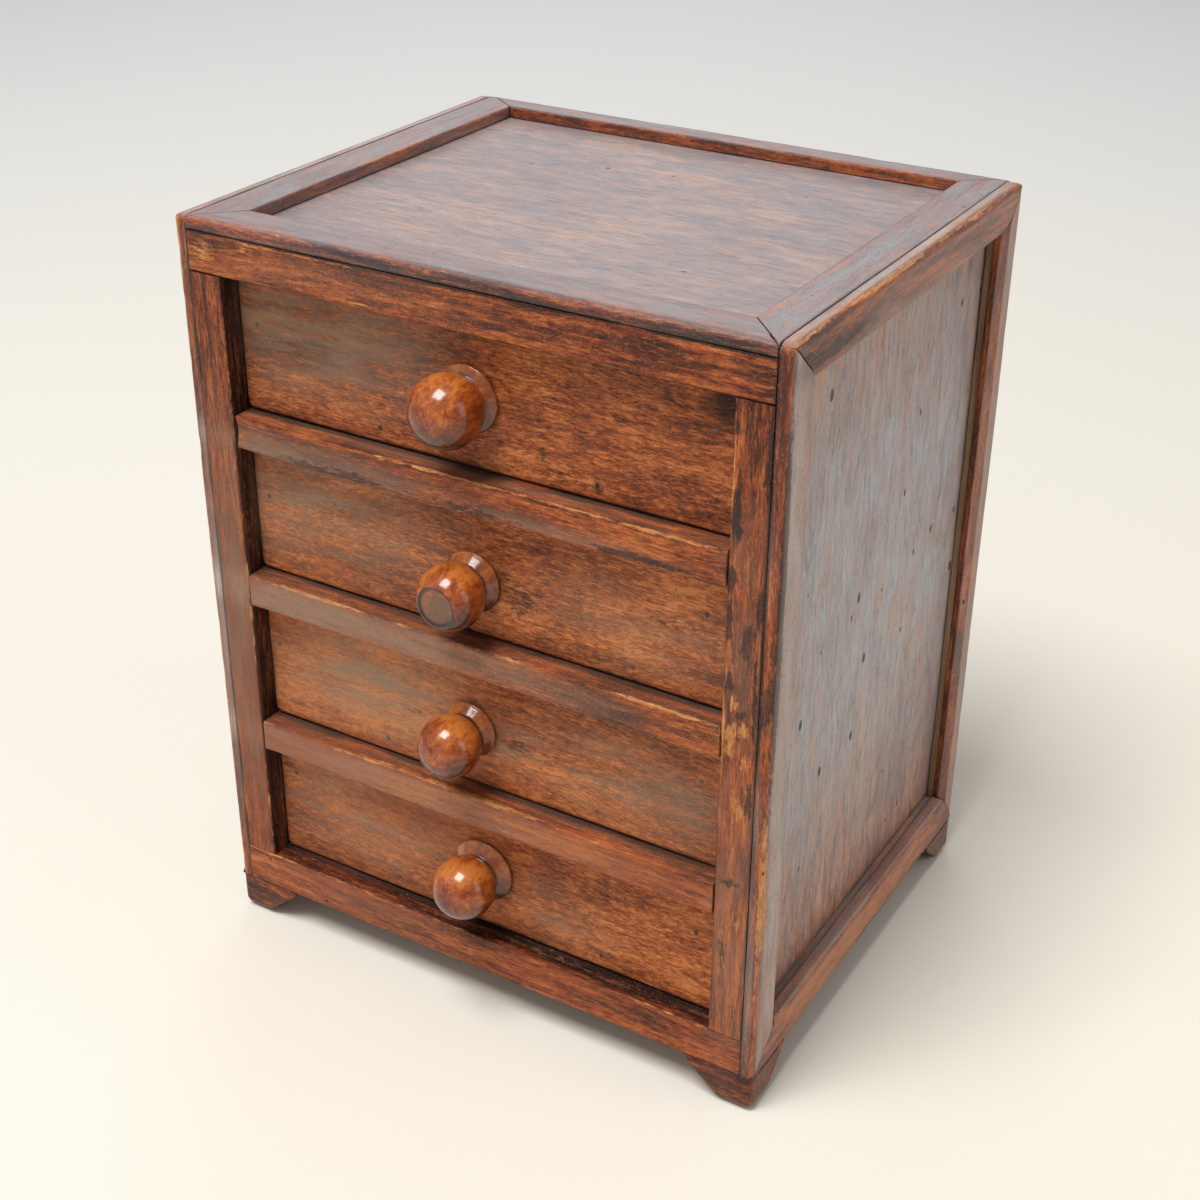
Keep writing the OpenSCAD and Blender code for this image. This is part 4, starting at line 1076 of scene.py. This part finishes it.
def knobProfile(n, depth, worn):
    # From the end of the spigot to the tip of the ball
    k = knob
    ball, flange, waist, ballOut, waistOut = knobSizes(n)
    rim = k["rim"]
    line = [(0, -depth), (k["spigot"], -depth), (k["spigot"], 0)]
    line += arcOf((flange - rim, rim), rim, -80, 62, 8)
    start = line[-1]
    line += [(start[0] + (waist - start[0]) * t, start[1] + (waistOut - 0.2 - start[1]) * t)
             for t in (0.2, 0.4, 0.6, 0.8, 0.93)]
    first = math.degrees(math.atan2(waistOut - ballOut, waist))
    if not worn:
        return line + arcOf((0, ballOut), ball, first, 90, 40)
    cut = ball - k["wornOff"]
    last = math.degrees(math.asin(cut / ball)) - 5
    line += arcOf((0, ballOut), ball, first, last, 32)
    flat = math.sqrt(ball ** 2 - cut ** 2)
    end = ballOut + cut
    line += [(flat - 0.25, end - 0.06), (flat - 0.6, end - 0.1), (flat - 0.9, end - k["dish"])]
    line += [(flat * t, end - k["dish"]) for t in (0.75, 0.6, 0.45, 0.3, 0.15, 0)]
    return line


def turned(profile, middle, faceY, around):
    # Spins a profile round an axis that points out of the drawer front
    points, faces = [], []
    rows = len(profile)
    for i, (radius, out) in enumerate(profile):
        for j in range(around):
            angle = 2 * math.pi * j / around
            points.append((middle[0] + radius * math.cos(angle), faceY - out,
                           middle[1] + radius * math.sin(angle)))
    for i in range(rows - 1):
        for j in range(around):
            a, b = i * around + j, i * around + (j + 1) % around
            if profile[i][0] == 0:
                faces.append((a, b + around, a + around))
            elif profile[i + 1][0] == 0:
                faces.append((a, b, a + around))
            else:
                faces.append((a, b, b + around, a + around))
    return np.array(points), faces


def mergedTips(points, faces, around):
    # One point at each end of a turned piece, where every spoke meets
    last = len(points) - around
    keep = {i: (0 if i < around else last if i >= last else i) for i in range(len(points))}
    used = sorted(set(keep.values()))
    index = {old: new for new, old in enumerate(used)}
    merged = [tuple(index[keep[i]] for i in corners) for corners in faces]
    return points[used], [corners for corners in merged if len(set(corners)) > 2]


def turnedMesh(name, shapes, marksOf, paintedLight=None):
    # Several turned shapes in one mesh: grain runs along the axis
    allPoints, allFaces = [], []
    start = 0
    for points, faces in shapes:
        allPoints.append(points)
        allFaces += [tuple(start + i for i in corners) for corners in faces]
        start += len(points)
    points = np.concatenate(allPoints)
    grain = points[:, [1, 0, 2]] + grainOffset()
    return finishMesh(name, points, grain, marksOf(points), allFaces, noFilm, paintedLight=paintedLight)


def dressKnob(n):
    k = knob
    node = f"drawer_{n}_knob"
    low, high = boxOf(node)
    faceY = boxOf(f"drawer_{n}_front")[0][1]
    middle = ((low[0] + high[0]) / 2, (low[2] + high[2]) / 2)
    ball, flange, waist, ballOut, waistOut = knobSizes(n)
    profile = knobProfile(n, high[1] - faceY, n == k["wornKnob"])
    shape = mergedTips(*turned(profile, middle, faceY, k["around"]), k["around"])

    def marksOf(points):
        out = faceY - points[:, 1]
        away = np.hypot(points[:, 0] - middle[0], points[:, 2] - middle[1])
        marks = np.zeros((len(points), 4))
        marks[:, 0] = k["rimWear"] * fade(np.hypot(away - flange, out - k["rim"]) / 1.6)
        marks[:, 1] = np.maximum.reduce([
            k["waistGrime"] * fade(np.abs(out - waistOut) / 1.3), k["footGrime"] * fade(np.abs(out)),
            k["flangeGrime"] * np.clip(waistOut - out, 0, 1)])
        aside, outward, above = k["hand"]["at"]
        held = (middle[0] + aside, faceY + outward, middle[1] + above)
        marks[:, 2] = k["hand"]["stain"] * fade(reachOf(points, held, k["hand"]["reach"]))
        marks[:, 3] = k["flangeFilm"] * np.clip(waistOut + 0.5 - out, 0, 1)
        if n == k["wornKnob"]:
            onEnd = np.clip((out - k["endFrom"]) / 0.8, 0, 1)
            flat = onEnd * np.clip((k["endReach"] - away) / 0.8, 0, 1)
            ring = onEnd * fade(np.abs(away - k["ringAt"]) / k["ringReach"])
            marks[:, 3] = np.maximum(marks[:, 3], k["endFilm"] * flat * (1 - ring))
            marks[:, 1] = np.maximum(marks[:, 1], ring)
            marks[:, 2] = 0
        return marks

    def paintedLight(points):
        # Painted light above, painted shade below
        return k["paintedLightToShade"] * np.clip((points[:, 2] - middle[1] - k["paintedLightShift"]) / ball, -1, 1)

    mesh = turnedMesh(node, [shape], marksOf, paintedLight)
    addPiece("dressed_" + node, mesh, f"drawer_{n}", [node], knobWood)


# Two pegs into the sides and two into the bottom of each drawer; a peg stands proud by a hair.
# shift: bottom pegs along the drawer, sideShift: left across and up, then right across and up
peg = {"radius": 1.0, "proud": 0.03, "around": 20, "side": 84.95, "spread": 44.0,
       "bottomRise": 5.9, "sideRise": 31.2, "grimeAndShade": 0.35, "rimShadeAndGrime": 0.6,
       "shift": {1: (7, 0), 2: (-2, 13), 3: (3, 0.5), 4: (4.5, 2.5)},
       "sideShift": {1: (0, 0, -1.3, 2.4), 2: (-1.2, -2.2, -2.4, 1.3), 3: (-2.4, -0.7, -2.2, 0.7),
                     4: (0, 4.4, -2, 0.2)}}


def dressPegs(n):
    node = f"drawer_{n}_pegs"
    low, high = boxOf(node)
    faceY = boxOf(f"drawer_{n}_front")[0][1]
    r, out = peg["radius"], peg["proud"]
    depth = high[1] - faceY
    profile = [(0, -depth), (r, -depth), (r, -0.5), (r * 0.96, out - 0.08), (r * 0.8, out),
               (r * 0.5, out + 0.03), (0, out + 0.05)]
    leftX, leftZ, rightX, rightZ = peg["sideShift"][n]
    lowZ = low[2] + r
    rise = lowZ - peg["bottomRise"] + peg["sideRise"]
    centres = [(leftX - peg["side"], rise + leftZ), (rightX + peg["side"], rise + rightZ),
               (peg["shift"][n][0] - peg["spread"], lowZ), (peg["shift"][n][1] + peg["spread"], lowZ)]
    shapes = [mergedTips(*turned(profile, centre, faceY, peg["around"]), peg["around"])
              for centre in centres]

    def marksOf(points):
        # Blackened round the rim
        marks = np.zeros((len(points), 4))
        away = np.min([np.hypot(points[:, 0] - x, points[:, 2] - z) for x, z in centres], axis=0)
        marks[:, 1] = peg["grimeAndShade"] + peg["rimShadeAndGrime"] * np.clip((away - 0.4 * r) / (0.5 * r), 0, 1)
        return marks

    mesh = turnedMesh(node, shapes, marksOf)
    addPiece("dressed_" + node, mesh, f"drawer_{n}", [node], pegWood)


for n in drawerNumbers:
    dressKnob(n)
    dressPegs(n)
print("knobs and pegs dressed")

bareLook = {
    "pale": (0.36, 0.22, 0.12), "mid": (0.26, 0.145, 0.075), "dark": (0.13, 0.07, 0.038),
    "soil": (0.09, 0.055, 0.036), "rough": 0.72, "bump": 0.5,
}


def bareWood(name, along):
    # Plain board: the grain runs along one axis of the case
    look = bareLook
    f = Finish(name)
    place = f.stretch(f.put("ShaderNodeTexCoord").outputs["Object"], (1 / mm, 1 / mm, 1 / mm))

    def scaled(alongScale, acrossScale):
        return tuple(alongScale if axis == along else acrossScale for axis in "xyz")

    rings = f.noise(place, scaled(0.012, 0.16), 4, 0.6, 0.8)
    fibre = f.noise(place, scaled(0.25, 2.4), 3, 0.6)
    soil = f.noise(place, scaled(0.02, 0.05), 4, 0.6)
    tone = f.sum(f.times(f.span(rings, 0.3, 0.7), 0.7), f.times(fibre, 0.4))
    colour = f.ramp(tone, [(0.2, look["dark"]), (0.5, look["mid"]), (0.85, look["pale"])])
    colour = f.blend(f.step(soil, 0.4, 0.8, 0, 0.6), colour, look["soil"])
    f.feed(f.shader.inputs["Base Color"], colour)
    dullness = f.span(fibre, 0.3, 0.7, look["rough"] - 0.08, look["rough"] + 0.1)
    f.feed(f.shader.inputs["Roughness"], dullness)
    height = f.sum(f.times(fibre, 0.6), f.times(rings, 0.5))
    bump = f.put("ShaderNodeBump", {"Height": height, "Strength": look["bump"], "Distance": 0.4 * mm})
    f.feed(f.shader.inputs["Normal"], bump.outputs[0])
    return f.material


bareAlong = {axis: bareWood("bareWood" + axis.upper(), axis) for axis in "xyz"}
bareNodes = {"back_post_left": "z", "back_post_right": "z", "back_board": "z", "bottom_board": "x",
             "drawer_runners": "y"}
for n in drawerNumbers:
    bareNodes[f"drawer_{n}_left_side"] = "y"
    bareNodes[f"drawer_{n}_right_side"] = "y"
    bareNodes[f"drawer_{n}_back"] = "x"
    bareNodes[f"drawer_{n}_bottom"] = "x"
for node, axis in bareNodes.items():
    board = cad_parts[node]
    for place in board.material_slots:
        place.material = bareAlong[axis]
print("bare wood finished")

studio = {
    "floorColour": (0.825, 0.785, 0.70), "warmShadeColour": (0.80, 0.695, 0.56),
    "farColour": (0.76, 0.765, 0.75), "floorHalf": 12, "world": 0.32, "aim": (0, 0, 0.14),
    "overhead": {"at": (-0.2, -0.95, 2.45), "size": 1.1, "power": 57},
    "front": {"at": (-1.1, -2.4, 1.3), "size": 3.6, "power": 14},
    "backLeft": {"at": (-0.95, 1.65, 1.25), "size": 1.1, "power": 6},
    "right": {"at": (1.9, 0.2, 0.9), "size": 1.4, "power": 8},
}
lens = {"focal": 56.88, "at": (0.30765, -0.51456, 0.46367), "azimuth": 30.711, "elevation": 29.177,
        "roll": 0.358}


def layFloor():
    f = Finish("floorBoards")
    place = f.put("ShaderNodeTexCoord").outputs["Object"]
    far = f.put("ShaderNodeVectorMath", {0: place}, operation="LENGTH").outputs["Value"]
    # The floor right of the case turns warmer and darker: a painted shadow
    aside = f.put("ShaderNodeSeparateXYZ", {0: place}).outputs[0]
    near = f.blend(f.step(aside, 0.05, 0.65, 0, 0.95), studio["floorColour"], studio["warmShadeColour"])
    f.feed(f.shader.inputs["Base Color"], f.blend(f.step(far, 0.4, 1.5), near, studio["farColour"]))
    f.shader.inputs["Roughness"].default_value = 0.8
    f.shader.inputs["Specular IOR Level"].default_value = 0.0
    mesh = bpy.data.meshes.new("floor")
    half = studio["floorHalf"]
    mesh.from_pydata([(-half, -half, 0), (half, -half, 0), (half, half, 0), (-half, half, 0)], [],
                     [(0, 1, 2, 3)])
    floor = bpy.data.objects.new("floor", mesh)
    bpy.context.scene.collection.objects.link(floor)
    mesh.materials.append(f.material)


def hangLamp(name):
    spec = studio[name]
    light = bpy.data.lights.new(name, "AREA")
    light.size = spec["size"]
    light.energy = spec["power"]
    lamp = bpy.data.objects.new(name, light)
    lamp.location = spec["at"]
    aim = Vector(studio["aim"]) - lamp.location
    lamp.rotation_euler = aim.to_track_quat("-Z", "Y").to_euler()
    bpy.context.scene.collection.objects.link(lamp)


def setWorld():
    world = bpy.data.worlds.new("studio")
    bpy.context.scene.world = world
    world.use_nodes = True
    soft = world.node_tree.nodes["Background"]
    soft.inputs[0].default_value = (1, 1, 1, 1)
    soft.inputs[1].default_value = studio["world"]


def setCamera():
    data = bpy.data.cameras.new("camera")
    data.lens = lens["focal"]
    data.sensor_width = 36
    data.clip_start = 0.01
    camera = bpy.data.objects.new("camera", data)
    azimuth, elevation, roll = (math.radians(lens[k]) for k in ("azimuth", "elevation", "roll"))
    back = Vector((math.sin(azimuth) * math.cos(elevation), -math.cos(azimuth) * math.cos(elevation),
                   math.sin(elevation)))
    right = (-back).cross(Vector((0, 0, 1))).normalized()
    up = back.cross(right)
    turnedRight = right * math.cos(roll) + up * math.sin(roll)
    turnedUp = up * math.cos(roll) - right * math.sin(roll)
    matrix = Matrix((turnedRight, turnedUp, back)).transposed().to_4x4()
    matrix.translation = lens["at"]
    camera.matrix_world = matrix
    bpy.context.scene.collection.objects.link(camera)
    bpy.context.scene.camera = camera


layFloor()
for lampName in ("overhead", "front", "backLeft", "right"):
    hangLamp(lampName)
setWorld()
setCamera()
bpy.context.scene.view_settings.view_transform = "Standard"
print("studio lit")
